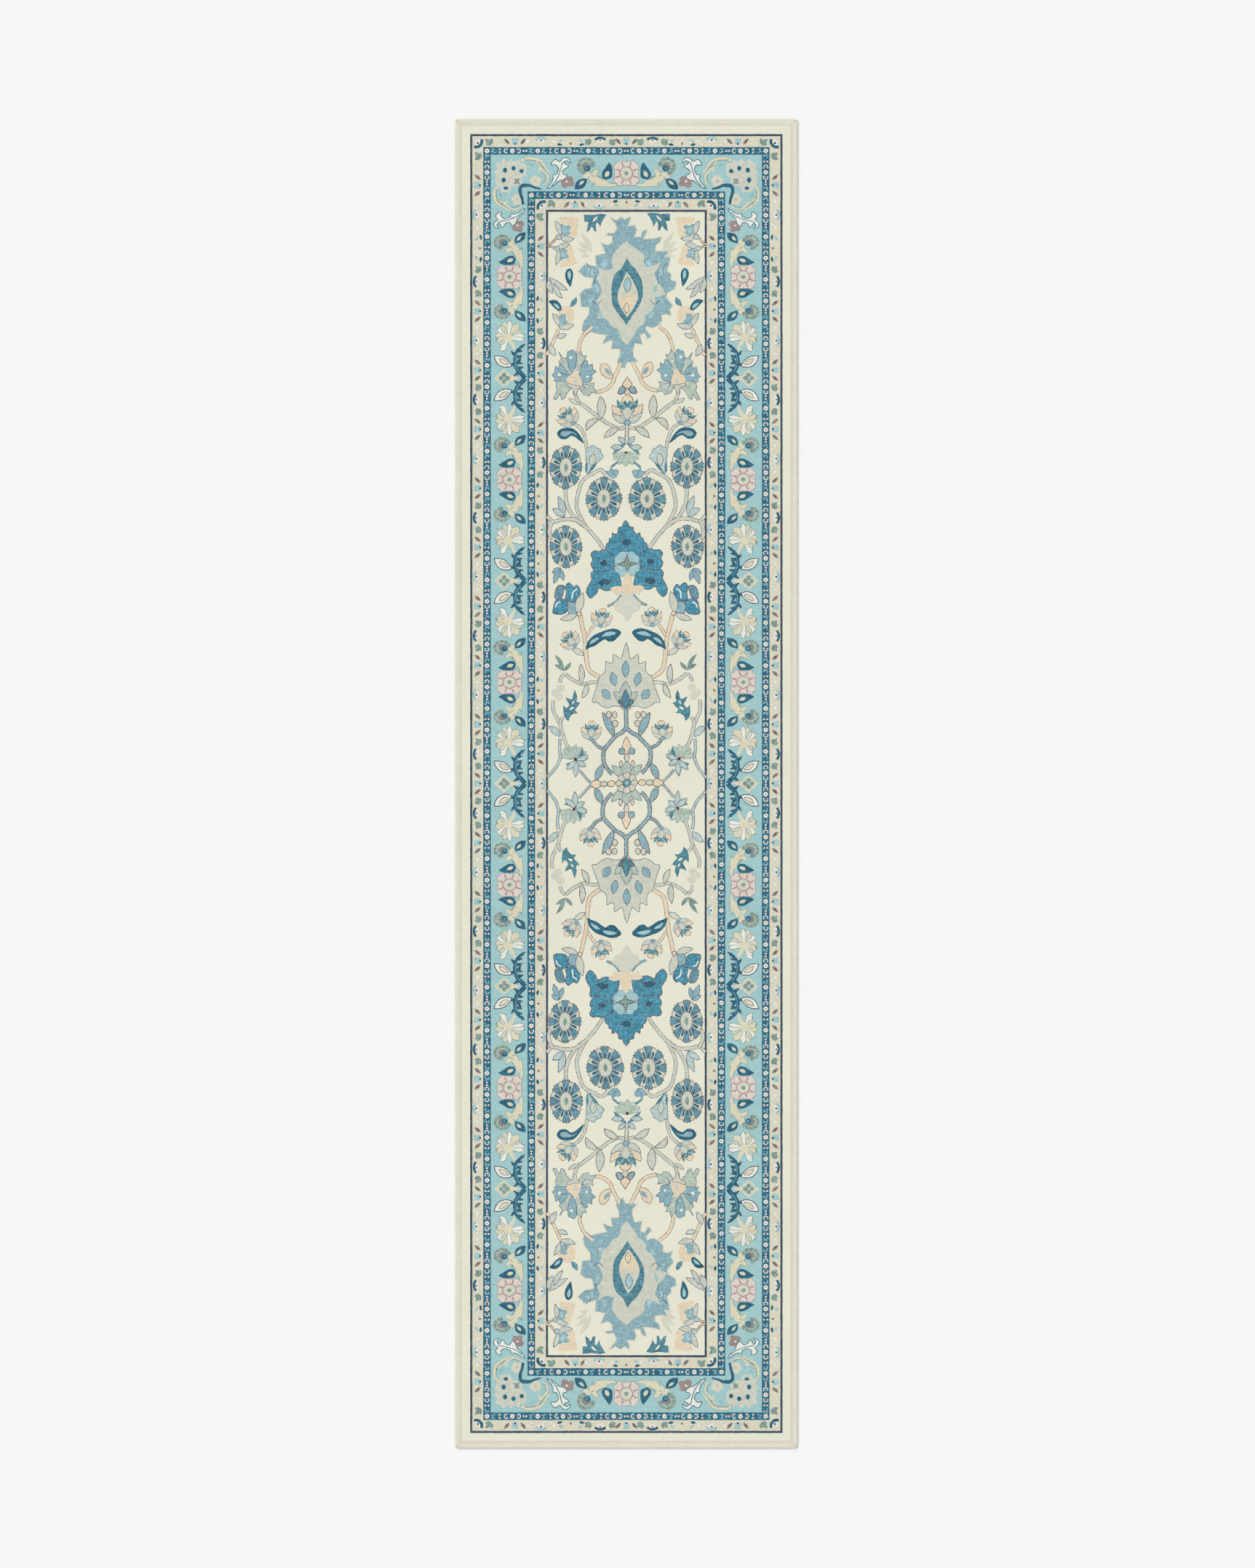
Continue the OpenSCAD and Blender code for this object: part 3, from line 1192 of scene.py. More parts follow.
@dataclass
class FieldDesign:
    """The ivory field's motifs, drawn for the upper right quarter and then reflected."""

    side: Sketch = field(default_factory=Sketch)
    offset: float = -2.0

    def both(
        self, dye: Dye, half: Sequence[Knot], edge: Dye | None = None, rim: float = 1.3
    ) -> None:
        """Add a patch that is the same left and right of the rug's long axis.

        Args:
            dye: Its dye.
            half: The knots of its right half, from the top down.
            edge: The rim's dye.
            rim: The rim's width.
        """
        left = [(-x, *rest) for x, *rest in reversed(half) if x > 0.01]
        whole = [(x - self.offset, *rest) for x, *rest in [*half, *left]]
        self.side.shape(dye, whole, edge, rim)

    def head_palmette(self) -> None:
        """The great serrated palmette at the end of the field."""
        draw = self.side
        draw.shape(CHALK, [(10, 1262, 1), (11, 1254), (5, 1241), (21, 1242, 1), (25, 1232), (20, 1217),
            (33, 1217, 1), (36, 1228), (49, 1233, 1), (45, 1220), (40, 1212), (60, 1212), (79, 1216, 1),
            (77, 1205), (67, 1197), (66, 1185), (82, 1184), (95, 1188, 1), (93, 1177), (99, 1172, 1),
            (95, 1151), (91, 1142), (101, 1133, 1), (100, 1122), (113, 1117, 1), (109, 1101), (92, 1091),
            (91, 1082), (98, 1074), (106, 1065, 1), (99, 1055), (103, 1040, 1), (91, 1045), (81, 1042),
            (82, 1030, 1), (74, 1019), (61, 1012), (47, 1016), (46, 1008), (58, 995, 1), (50, 986, 1),
            (42, 1000), (33, 996), (38, 974, 1), (21, 977), (17, 960), (18, 948), (28, 937, 1), (14, 935),
            (3, 935), (-3, 921, 1), (-11, 926), (-20, 938, 1), (-13, 952), (-13, 965), (-31, 966, 1),
            (-28, 985), (-35, 984), (-51, 977, 1), (-41, 997), (-57, 1000), (-76, 1005, 1), (-86, 997, 1),
            (-95, 1012), (-91, 1030), (-79, 1045), (-79, 1060), (-97, 1062, 1), (-99, 1078), (-101, 1091),
            (-91, 1101), (-75, 1103), (-72, 1124), (-91, 1127), (-107, 1140, 1), (-92, 1156), (-66, 1151),
            (-69, 1175, 1), (-46, 1180), (-57, 1204, 1), (-40, 1198), (-31, 1205), (-30, 1218),
            (-47, 1220, 1), (-40, 1226), (-27, 1225), (-20, 1236), (-25, 1247), (-39, 1263, 1), (-22, 1254),
            (-10, 1262, 1), (-2, 1255)], SAND, 2.0, False)
        draw.shape(STONE, [(2, 1208, 1), (12, 1197), (25, 1189), (41, 1174), (40, 1161), (45, 1150, 1),
            (55, 1151), (68, 1155), (79, 1162, 1), (71, 1147), (63, 1134, 1), (71, 1117), (82, 1102),
            (89, 1089, 1), (75, 1084), (64, 1083, 1), (67, 1071), (57, 1050), (44, 1039), (43, 1024),
            (27, 1010), (17, 991), (3, 974, 1), (-8, 987), (-15, 1008), (-29, 1016), (-36, 1027),
            (-48, 1036), (-62, 1033, 1), (-55, 1054), (-62, 1072, 1), (-53, 1090), (-53, 1104),
            (-64, 1122, 1), (-58, 1136), (-63, 1151, 1), (-46, 1142), (-26, 1146, 1), (-31, 1159),
            (-29, 1174), (-17, 1191)])
        for base, tip, width in (((88, 1148), (70, 1128), 11), ((46, 1152), (54, 1166), 8), ((72, 1082),
                (86, 1068), 9), ((-66, 1112), (-58, 1088), 8), ((-44, 1148), (-54, 1158), 8), ((-60, 1052),
                (-48, 1034), 8)):
            draw.leaf(SKY, base, tip, width)
        for knots in ([(92, 1158), (82, 1146), (84, 1134)], [(-72, 1140), (-66, 1126), (-69, 1112)],
                [(78, 1076), (66, 1066)], [(-50, 1076), (-60, 1066)]):
            draw.stem(INK, knots, 1.6)
        draw.shape(TEAL, [(3, 1170, 1), (12, 1155), (22, 1145), (35, 1122), (39, 1100), (38, 1080),
            (30, 1060), (12, 1032), (4, 1018, 1), (-10, 1038), (-25, 1060), (-29, 1080), (-29, 1110),
            (-22, 1133), (-8, 1147)])
        draw.shape(STONE, [(3, 1138, 1), (12, 1126), (20, 1112), (28, 1092), (28, 1076), (18, 1054),
            (5, 1036, 1), (-6, 1052), (-15, 1072), (-15, 1090), (-8, 1112)])
        draw.shape(PEACH, [(-13, 1086), (0, 1080), (8, 1092), (16, 1084), (26, 1088), (26, 1074),
            (16, 1054), (5, 1040, 1), (-5, 1054), (-13, 1072)])
        draw.leaf(SKY, (5, 1092), (6, 1126), 16, 0, INK)
        draw.leaf(PEACH, (4, 1044), (4, 1068), 12, 0, INK)

    def head_sprays(self) -> None:
        """The small leaves and flowers round the great palmette."""
        draw = self.side
        draw.shape(TEAL, [(48, 1267), (60, 1269), (78, 1266), (99, 1267), (98, 1251), (88, 1250),
            (91, 1243), (93, 1228), (86, 1232), (81, 1241), (76, 1230), (71, 1229), (72, 1243), (70, 1250),
            (66, 1246), (62, 1238), (60, 1247), (54, 1258)], smooth=False)
        draw.leaf(IVORY, (68, 1263), (80, 1250), 5)
        spray = corner_spray()
        draw.stamp(spray, (156, 1217))
        draw.stamp(spray, (160, 1191), turn=-8, scale=(0.88, -0.96))
        draw.stem(PEACH, [(160, 1216), (168, 1206), (179, 1200)], 5, PLUM)
        draw.stem(PEACH, [(165, 1192), (171, 1196), (179, 1196)], 5, PLUM)
        for base, tip, width in (((84, 1184), (106, 1226), 9), ((82, 1180), (94, 1216), 8), ((88, 1182),
                (112, 1206), 9), ((90, 1176), (114, 1190), 8), ((84, 1172), (106, 1172), 7)):
            draw.leaf(GHOST, base, tip, width, 2)
        draw.leaf(NAVY, (130, 1148), (126, 1106), 18, 2, belly=0.35)
        draw.leaf(SKY, (130, 1143), (128, 1122), 8, 1, belly=0.4)
        for base, tip, width in (((174, 1128), (133, 1100), 13), ((163, 1115), (144, 1082), 11),
                ((176, 1124), (166, 1093), 12)):
            draw.leaf(GREY, base, tip, width, 3, INK)
        draw.leaf(DENIM, (112, 1084), (126, 1063), 12, -2)
        draw.leaf(NAVY, (146, 1050), (173, 1073), 14, 5, core=SKY)
        draw.stem(NAVY, [(146, 1050), (149, 1066), (160, 1076), (174, 1074)], 5)
        draw.shape(PEACH, [(117, 1055), (125, 1062), (133, 1065), (142, 1063), (145, 1056), (153, 1052),
            (155, 1044), (148, 1040), (136, 1046), (132, 1038), (128, 1027), (120, 1030), (116, 1042)])
        draw.shape(CHALK, [(136, 1047), (150, 1045), (148, 1035), (150, 1028), (140, 1024), (130, 1028),
            (135, 1037)])
        draw.leaf(GREY, (150, 1020), (165, 1048), 12, 2, INK)
        draw.leaf(GREY, (151, 1018), (116, 1024), 13, 2, INK)
        draw.vine(PEACH, [(150, 1015), (156, 1000), (163, 985), (170, 968), (179, 955)], 7.5)
        draw.leaf(GREY, (157, 997), (133, 1003), 11, 2, INK)
        draw.leaf(GREY, (170, 980), (158, 953), 14, 2, INK)
        draw.vine(PEACH, [(75, 1017), (92, 1003), (102, 985), (107, 962)], 8)

    def fan_flower(self) -> None:
        """The open fan flower and the stems that lead to it."""
        draw = self.side
        draw.vine(PEACH, [(15, 935), (22, 920), (30, 905), (36, 890), (50, 878), (70, 872)], 8.5)
        draw.shape(PEACH, [(34, 903), (41, 928), (55, 936), (61, 926), (58, 913), (48, 904)], PLUM, 1.0)
        draw.leaf(CHALK, (37, 908), (50, 925), 9)
        draw.vine(GREY, [(117, 886), (117, 868), (110, 850)], 8)
        for dye, knots in ((SAGE, [(103, 890), (92, 890), (74, 893), (77, 883), (68, 869), (81, 872),
                (87, 864), (99, 867), (108, 881)]), (SAGE, [(131, 899), (146, 901), (157, 894), (159, 883),
                (156, 877), (165, 857), (159, 854), (150, 868), (147, 855), (140, 858), (134, 871),
                (125, 880)]), (CHALK, [(107, 914), (106, 890), (82, 896), (78, 905), (81, 909), (69, 919),
                (77, 923), (77, 935), (86, 931), (88, 943), (98, 941), (101, 929)]), (CHALK, [(126, 911),
                (133, 922), (149, 935), (152, 925), (159, 930), (161, 916), (167, 908), (160, 904),
                (162, 896), (149, 896), (130, 896)]), (CHALK, [(112, 961), (118, 968), (125, 965),
                (131, 963), (132, 954), (135, 946), (130, 936), (126, 916), (115, 920), (112, 944)]), (SAGE,
                [(117, 914), (108, 922), (102, 932), (93, 945), (90, 954), (98, 953), (101, 965),
                (111, 958), (112, 940)]), (SAGE, [(122, 914), (129, 929), (133, 948), (141, 949),
                (151, 962), (145, 947), (152, 939), (146, 934), (139, 927), (130, 913)])):
            draw.shape(dye, knots, INK, 1.2, False)
        for at, size in (((124, 950), 7), ((150, 911), 8), ((89, 907), 6), ((105, 940), 4)):
            draw.dot(WHITE, at, size)
        draw.stem(INK, [(134, 911), (143, 914), (149, 913)], 1.8)
        draw.stem(INK, [(92, 880), (98, 886), (103, 889)], 1.8)
        draw.stem(WHITE, [(90, 881), (96, 887)], 1.8)
        draw.shape(PEACH, [(114, 924), (122, 914), (131, 907), (135, 898), (129, 890), (117, 886),
            (103, 886), (102, 897), (107, 911)])
        draw.leaf(GREY, (116, 889), (114, 907), 8)
        draw.shape(GREY, [(105, 886), (119, 888), (130, 892), (135, 889), (131, 884), (122, 880),
            (119, 868), (114, 868), (111, 878)], PLUM, 0.9)

    def middle_lotus(self) -> None:
        """The lotus on the long axis with its candelabra."""
        draw = self.side
        axis = -self.offset
        self.both(PEACH, [(0, 904, 1), (5, 896), (11, 887), (8, 881), (0, 877, 1)], PLUM, 1.4)
        for hand in (-1, 1):
            draw.shape(CHALK, [(axis + hand * x, y) for x, y in ((5, 880), (11, 883), (17, 879), (21, 868),
                (12, 867), (6, 872))], PLUM, 2.0)
        self.both(STONE, [(0, 879, 1), (7, 870, 1), (0, 859, 1)], PLUM)
        draw.vine(GREY, [(2, 796), (20, 790), (45, 801), (66, 816), (90, 835), (110, 850)], 8.5)
        draw.leaf(GREY, (106, 846), (131, 858), 9, -2, PLUM, rim=0.9)
        draw.leaf(GREY, (62, 812), (62, 863), 19, 2, PLUM)
        draw.leaf(GREY, (66, 810), (93, 786), 14, 7, PLUM)
        draw.leaf(GREY, (20, 791), (53, 769), 15, 3, PLUM)
        draw.stamp(lotus(), (axis, 801))

    def lotus_buds(self) -> None:
        """The smaller lotus buds, with their stems."""
        draw = self.side
        draw.vine(GREY, [(121, 803), (104, 788), (95, 767), (92, 745)], 7.5)
        draw.vine(PEACH, [(75, 352), (82, 342), (91, 328)], 7)
        draw.stem(CHALK, [(15, 420), (28, 404), (46, 395)], 6, SLATE, rim=0.9)
        bud = lotus()
        for at, turn, size in (((121, 801), -38, 0.70), ((61, 350), 8, 0.66), ((114, 306), -42, 0.64),
                ((82, 99), 4, 0.66)):
            draw.stamp(bud, at, turn, size)

    def star(self) -> None:
        """The small blue and sage star on the long axis, the tulip and the bean leaf."""
        draw = self.side
        axis = -self.offset
        draw.shape(NAVY, [(98, 757), (108, 777), (124, 791), (146, 791), (157, 781), (151, 769), (138, 767),
            (127, 774), (117, 771), (110, 765)])
        draw.shape(CHALK, [(112, 775), (126, 784), (146, 784), (149, 776), (137, 773), (126, 780)])
        draw.shape(FROST, [(88, 688), (78, 700), (66, 715), (54, 726), (60, 736), (61, 743), (70, 747),
            (77, 753), (86, 748), (93, 745), (93, 725), (91, 705)], INK)
        draw.shape(STONE, [(77, 734), (85, 722), (79, 706), (71, 722)], INK)
        draw.leaf(TEAL, (87, 690), (65, 717), 6)
        draw.leaf(TEAL, (91, 690), (91, 717), 6)
        draw.stem(GREY, [(axis, 757), (axis, 778), (axis, 797)], 9, PLUM)
        for hand in (-1, 1):
            draw.leaf(DENIM, (axis, 757), (axis + hand * 31, 730), 10, hand * 3)
            draw.leaf(FROST, (axis + hand * 3, 757), (axis + hand * 19, 771), 11, 0, INK)
            draw.leaf(FROST, (axis + hand * 8, 748), (axis + hand * 35, 748), 12, 0, INK)
        for angle in (-150, -120, -90, -60, -30):
            draw.petal(SAGE, (axis, 738), angle, 4, 33, 15, 0.4, 1, GREEN, 0.9)
        draw.dot(PLUM, (axis, 736), 7)
        draw.stem(DENIM, [(20, 715), (27, 710), (35, 703)], 5)
        draw.shape(CHALK, [(18, 690), (26, 679), (37, 681), (46, 694, 1), (38, 695), (36, 702, 1),
            (29, 697), (20, 697)], DENIM)
        draw.stem(DENIM, [(24, 685), (31, 690), (35, 698)], 1.8)

    def rosettes(self) -> None:
        """The three big rosettes on each side, and the grey vine between them."""
        draw = self.side
        for knots in ([(45, 685), (58, 697), (75, 690), (95, 678), (105, 660), (112, 625), (108, 605),
                (98, 585), (90, 572), (75, 555), (60, 535), (48, 515)], [(137, 658), (136, 635), (130, 615),
                (120, 598), (105, 582), (92, 573)], [(98, 580), (120, 590), (145, 590), (165, 585),
                (178, 597)], [(165, 588), (173, 570), (172, 550), (158, 543)]):
            draw.vine(GREY, knots, 8.5)
        draw.leaf(FROST, (140, 595), (153, 641), 15, 2, INK)
        draw.leaf(FROST, (141, 595), (166, 613), 14, 2, INK)
        for at, reach in (((137, 705), (37, 49)), ((50, 633), (42, 50)), ((137, 529), (38, 49))):
            draw.stamp(wheel(reach[0] / reach[1]), at, 0, reach[1] / 49)

    def deep_palmette(self) -> None:
        """The deep denim palmette on the long axis."""
        draw = self.side
        axis = -self.offset
        self.both(DEEP, [(0, 584, 1), (6, 577), (8, 570), (16, 568), (17, 560), (22, 553), (30, 556),
            (31, 547), (37, 544), (38, 537), (44, 532), (45, 520), (40, 511), (33, 506), (20, 500),
            (0, 498)], PLUM)
        for hand in (-1, 1):
            draw.shape(DEEP, [(axis + hand * x, y) for x, y in ((26, 500), (34, 511), (50, 521), (60, 518),
                (72, 519), (79, 512), (75, 500), (79, 490), (72, 475), (60, 467), (45, 469), (30, 478))],
                PLUM)
            draw.shape(DEEP, [(axis + hand * x, y) for x, y in ((20, 468), (30, 478), (45, 474), (62, 473),
                (76, 474), (80, 466), (78, 455), (88, 437), (89, 424), (80, 414), (67, 426), (62, 436),
                (48, 430), (30, 433), (14, 440))], PLUM)
            draw.dot(NAVY, (axis + hand * 51, 492), 15, 11, PLUM, 8)
            draw.leaf(NAVY, (axis + hand * 38, 448), (axis + hand * 64, 446), 13, hand * 2, PLUM)
        draw.dot(NAVY, (axis, 535), 20, 14, PLUM, 8)
        draw.dot(CHALK, (axis, 487), 58, 56, PLUM, 8)
        for angle in (45, 135, 225, 315):
            draw.petal(SKY, (axis, 487), angle, 3, 31, 30, 0.8, 2, CHALK)
        draw.dot(SKY, (axis, 487), 34)
        for base, tip in (((axis - 21, 487), (axis + 21, 487)), ((axis, 471), (axis, 506))):
            draw.leaf(PLUM, base, tip, 12)
        for base, tip in (((axis - 18, 487), (axis + 18, 487)), ((axis, 473), (axis, 503))):
            draw.leaf(GREEN, base, tip, 9)
        self.both(PEACH, [(0, 468, 1), (5, 462), (9, 450), (10, 441), (17, 438), (27, 439), (38, 434, 1),
            (31, 428), (25, 420, 1), (15, 425), (7, 421), (0, 411, 1)], SAND, 1.0)

    def cabbage_flower(self) -> None:
        """The curled blue flower at the side, with its peach stem, and the leaves below it."""
        draw = self.side
        for tip, width in (((142, 453), 11), ((164, 446), 13), ((168, 469), 9)):
            draw.leaf(CHALK, (150, 481), tip, width, 1, INK)
        draw.vine(PEACH, [(105, 375), (100, 350), (95, 328), (92, 300), (90, 275), (84, 252),
            (62, 236)], 9.5)
        for knots, dye in (([(105, 430), (112, 443), (120, 440), (130, 448), (138, 440), (136, 425),
                (138, 412), (130, 405), (118, 405), (110, 415)], DEEP), ([(140, 440), (152, 442),
                (160, 432), (162, 415), (155, 411), (147, 414), (142, 426)], DENIM), ([(133, 405),
                (145, 412), (158, 410), (163, 398), (165, 380), (150, 377), (138, 380), (132, 392)], DEEP),
                ([(112, 404), (130, 402), (133, 388), (128, 377), (115, 377), (108, 388)], CHALK)):
            draw.shape(dye, knots, PLUM)
        draw.leaf(STONE, (99, 426), (110, 377), 18, 2, INK)
        draw.leaf(STONE, (111, 378), (148, 366), 14, -2, INK)
        draw.dot(PEACH, (107, 378), 10, edge=PLUM)
        draw.stem(WHITE, [(112, 434), (121, 427), (123, 412)], 3)
        draw.stem(WHITE, [(149, 405), (156, 402), (160, 393)], 3)
        draw.shape(NAVY, [(92, 298), (88, 315), (75, 330), (58, 338), (40, 344), (25, 344), (14, 336),
            (22, 325), (31, 317), (42, 316), (50, 321), (60, 315), (71, 307), (82, 303)])
        draw.leaf(SKY, (24, 334), (58, 327), 9, 3)
        draw.leaf(SKY, (62, 324), (84, 309), 7, 2)
        draw.leaf(GHOST, (97, 285), (121, 299), 13, 2, INK)
        self.both(GHOST, [(0, 421, 1), (11, 418), (22, 406), (30, 400), (25, 385), (13, 380), (6, 368),
            (0, 361, 1)])

    def stone_palmette(self) -> None:
        """The stone palmette near the middle and the grey stems beside it."""
        draw = self.side
        axis = -self.offset
        for knots, width in (([(62, 226), (80, 225), (100, 222), (124, 234), (138, 246)], 6), ([(138, 246),
                (146, 238), (149, 226)], 5), ([(165, 188), (165, 165), (152, 135), (145, 110), (138, 90),
                (132, 76)], 6), ([(144, 150), (149, 143), (150, 133)], 5)):
            draw.vine(GREY, knots, width + 2)
        self.both(STONE, [(0, 313, 1), (5, 300), (8, 285), (13, 277), (20, 283), (28, 287), (29, 275),
            (31, 267), (38, 268), (46, 271), (45, 258), (49, 245), (59, 238), (62, 228), (66, 215),
            (71, 200), (76, 182), (65, 180), (55, 172), (42, 167), (30, 170), (22, 171), (12, 168),
            (0, 158)], INK)
        draw.leaf(CHALK, (axis, 235), (axis, 273), 17, 0, INK)
        for hand in (-1, 1):
            draw.leaf(CHALK, (axis + hand * 24, 216), (axis + hand * 31, 247), 16, 0, INK)
            draw.leaf(CHALK, (axis + hand * 37, 186), (axis + hand * 52, 209), 17, 0, INK)
            draw.leaf(SAGE, (axis, 165), (axis + hand * 27, 203), 20, hand * 4, INK)
        draw.leaf(SAGE, (axis, 165), (axis, 226), 26, 0, INK, belly=0.55)
        for hand in (-1, 1):
            draw.leaf(TEAL, (axis, 165), (axis + hand * 17, 186), 10, 0, PLUM)
        draw.leaf(TEAL, (axis, 160), (axis, 208), 17, 0, PLUM)
        draw.leaf(GREY, (103, 222), (103, 266), 13, 2, PLUM)
        draw.leaf(GREY, (88, 223), (101, 191), 13, -2, PLUM)
        for tip, bend in (((124, 271), 1), ((160, 266), 2), ((160, 288), 3)):
            draw.leaf(GREEN, (140, 252), tip, 9, bend)
        for at, size in (((148, 214), 20), ((160, 204), 18), ((152, 196), 20)):
            draw.dot(GHOST, at, size, size * 0.9)
        draw.shape(TEAL, [(117, 210, 1), (121, 198), (123, 190), (130, 191), (138, 195, 1), (134, 185),
            (130, 178), (136, 170), (143, 177, 1), (143, 160), (140, 148), (132, 141, 1), (129, 150),
            (122, 157), (111, 158, 1), (117, 166), (112, 172), (105, 181, 1), (113, 184), (112, 196)])
        draw.leaf(IVORY, (119, 172), (130, 166), 5)
        draw.leaf(IVORY, (118, 186), (124, 178), 4)

    def lattice(self) -> None:
        """The chalk lattice, the star flower and the leaves beside the middle medallion."""
        draw = self.side
        for knots, width in (([(2, 162), (2, 142), (2, 122)], 9), ([(2, 122), (12, 112), (25, 105),
                (40, 90), (52, 75), (54, 60), (52, 44)], 9), ([(52, 46), (44, 32), (34, 21)], 8),
                ([(55, 78), (68, 85), (79, 99)], 7)):
            draw.stem(CHALK, knots, width, PLUM)
        draw.leaf(CHALK, (54, 44), (70, 7), 15, 1, PLUM)
        draw.leaf(CHALK, (30, 103), (55, 157), 17, 2, PLUM)
        for at in ((28, 151), (41, 152), (27, 132)):
            draw.dot(STONE, at, 12, 15, PLUM)
        for angle in range(20, 200, 26):
            draw.petal(SAGE, (121, 56), angle, 4, 33, 12, 0.4, 1, GREEN, 0.9)
        draw.leaf(TEAL, (112, 44), (102, 82), 10, 3)
        draw.leaf(TEAL, (140, 46), (104, 46), 10, 2)
        for tip in ((88, 64), (94, 40), (116, 17), (137, 33)):
            draw.leaf(FROST, (114, 53), tip, 12, 0, INK)
        draw.dot(PLUM, (117, 56), 7)
        draw.stem(FROST, [(152, 102), (153, 78), (150, 56)], 7, INK)
        draw.stem(FROST, [(150, 62), (160, 38), (179, 15)], 7, INK)
        draw.leaf(FROST, (152, 106), (176, 129), 15, 2, INK)

    def medallion(self) -> None:
        """The small medallion in the middle of the rug."""
        draw = self.side
        axis = -self.offset
        for tip, width in (((axis + 33, 40), 17), ((axis - 33, 40), 17), ((axis, 50), 19)):
            draw.leaf(SAGE, (axis, 8), tip, width, 0, INK)
        draw.leaf(PEACH, (axis, 60), (axis, 102), 19, 0, PLUM, belly=0.4)
        for hand in (-1, 1):
            draw.dot(CHALK, (axis + hand * 11, 70), 15, edge=PLUM)
            draw.leaf(STONE, (axis + hand * 13, 34), (axis + hand * 13, 50), 8, 0, PLUM)
        draw.leaf(STONE, (axis, 46), (axis, 66), 11, 0, PLUM)
        draw.leaf(PEACH, (axis + 24, 0), (axis + 44, 0), 14, 0, PLUM)
        draw.leaf(PEACH, (axis + 54, 0), (axis + 80, 0), 18, 0, PLUM)
        draw.leaf(STONE, (axis + 41, 0), (axis + 59, 0), 12, 0, PLUM)
        draw.stem(FROST, [(80, 2), (92, 14), (106, 31)], 5, INK)
        for k in range(8):
            draw.petal(STONE, (axis, 0), 45 * k, 7, 24, 16, 0.5, 1, PLUM)
        draw.dot(DENIM, (axis, 0), 18, edge=PLUM)
        draw.dot(SKY, (axis, 0), 8)

    def warped(self, point: Point) -> Point:
        """Where the loom puts a point: hand-drawn motifs never repeat exactly.

        Args:
            point: The drawn point.

        Returns:
            The woven point.
        """
        x, y = point
        return (x + 1.6 * math.sin(y / 61 + 0.5) + 1.1 * math.sin(x / 47 - y / 83),
            y + 1.4 * math.sin(x / 53 + 1.0) + 1.0 * math.sin(y / 71 + x / 39))

    def build(self) -> list[Plate]:
        """Draw the whole field.

        Returns:
            Its patches.
        """
        for draw in (self.head_palmette, self.head_sprays, self.fan_flower, self.middle_lotus,
                self.lotus_buds, self.star, self.rosettes, self.deep_palmette, self.cabbage_flower,
                self.stone_palmette, self.lattice, self.medallion):
            draw()
        quarter = Sketch()
        quarter.stamp(self.side, (self.offset, 0))
        whole = quarter.mirrored()
        whole.settle()
        return [plate.moved(self.warped) for plate in whole.plates]


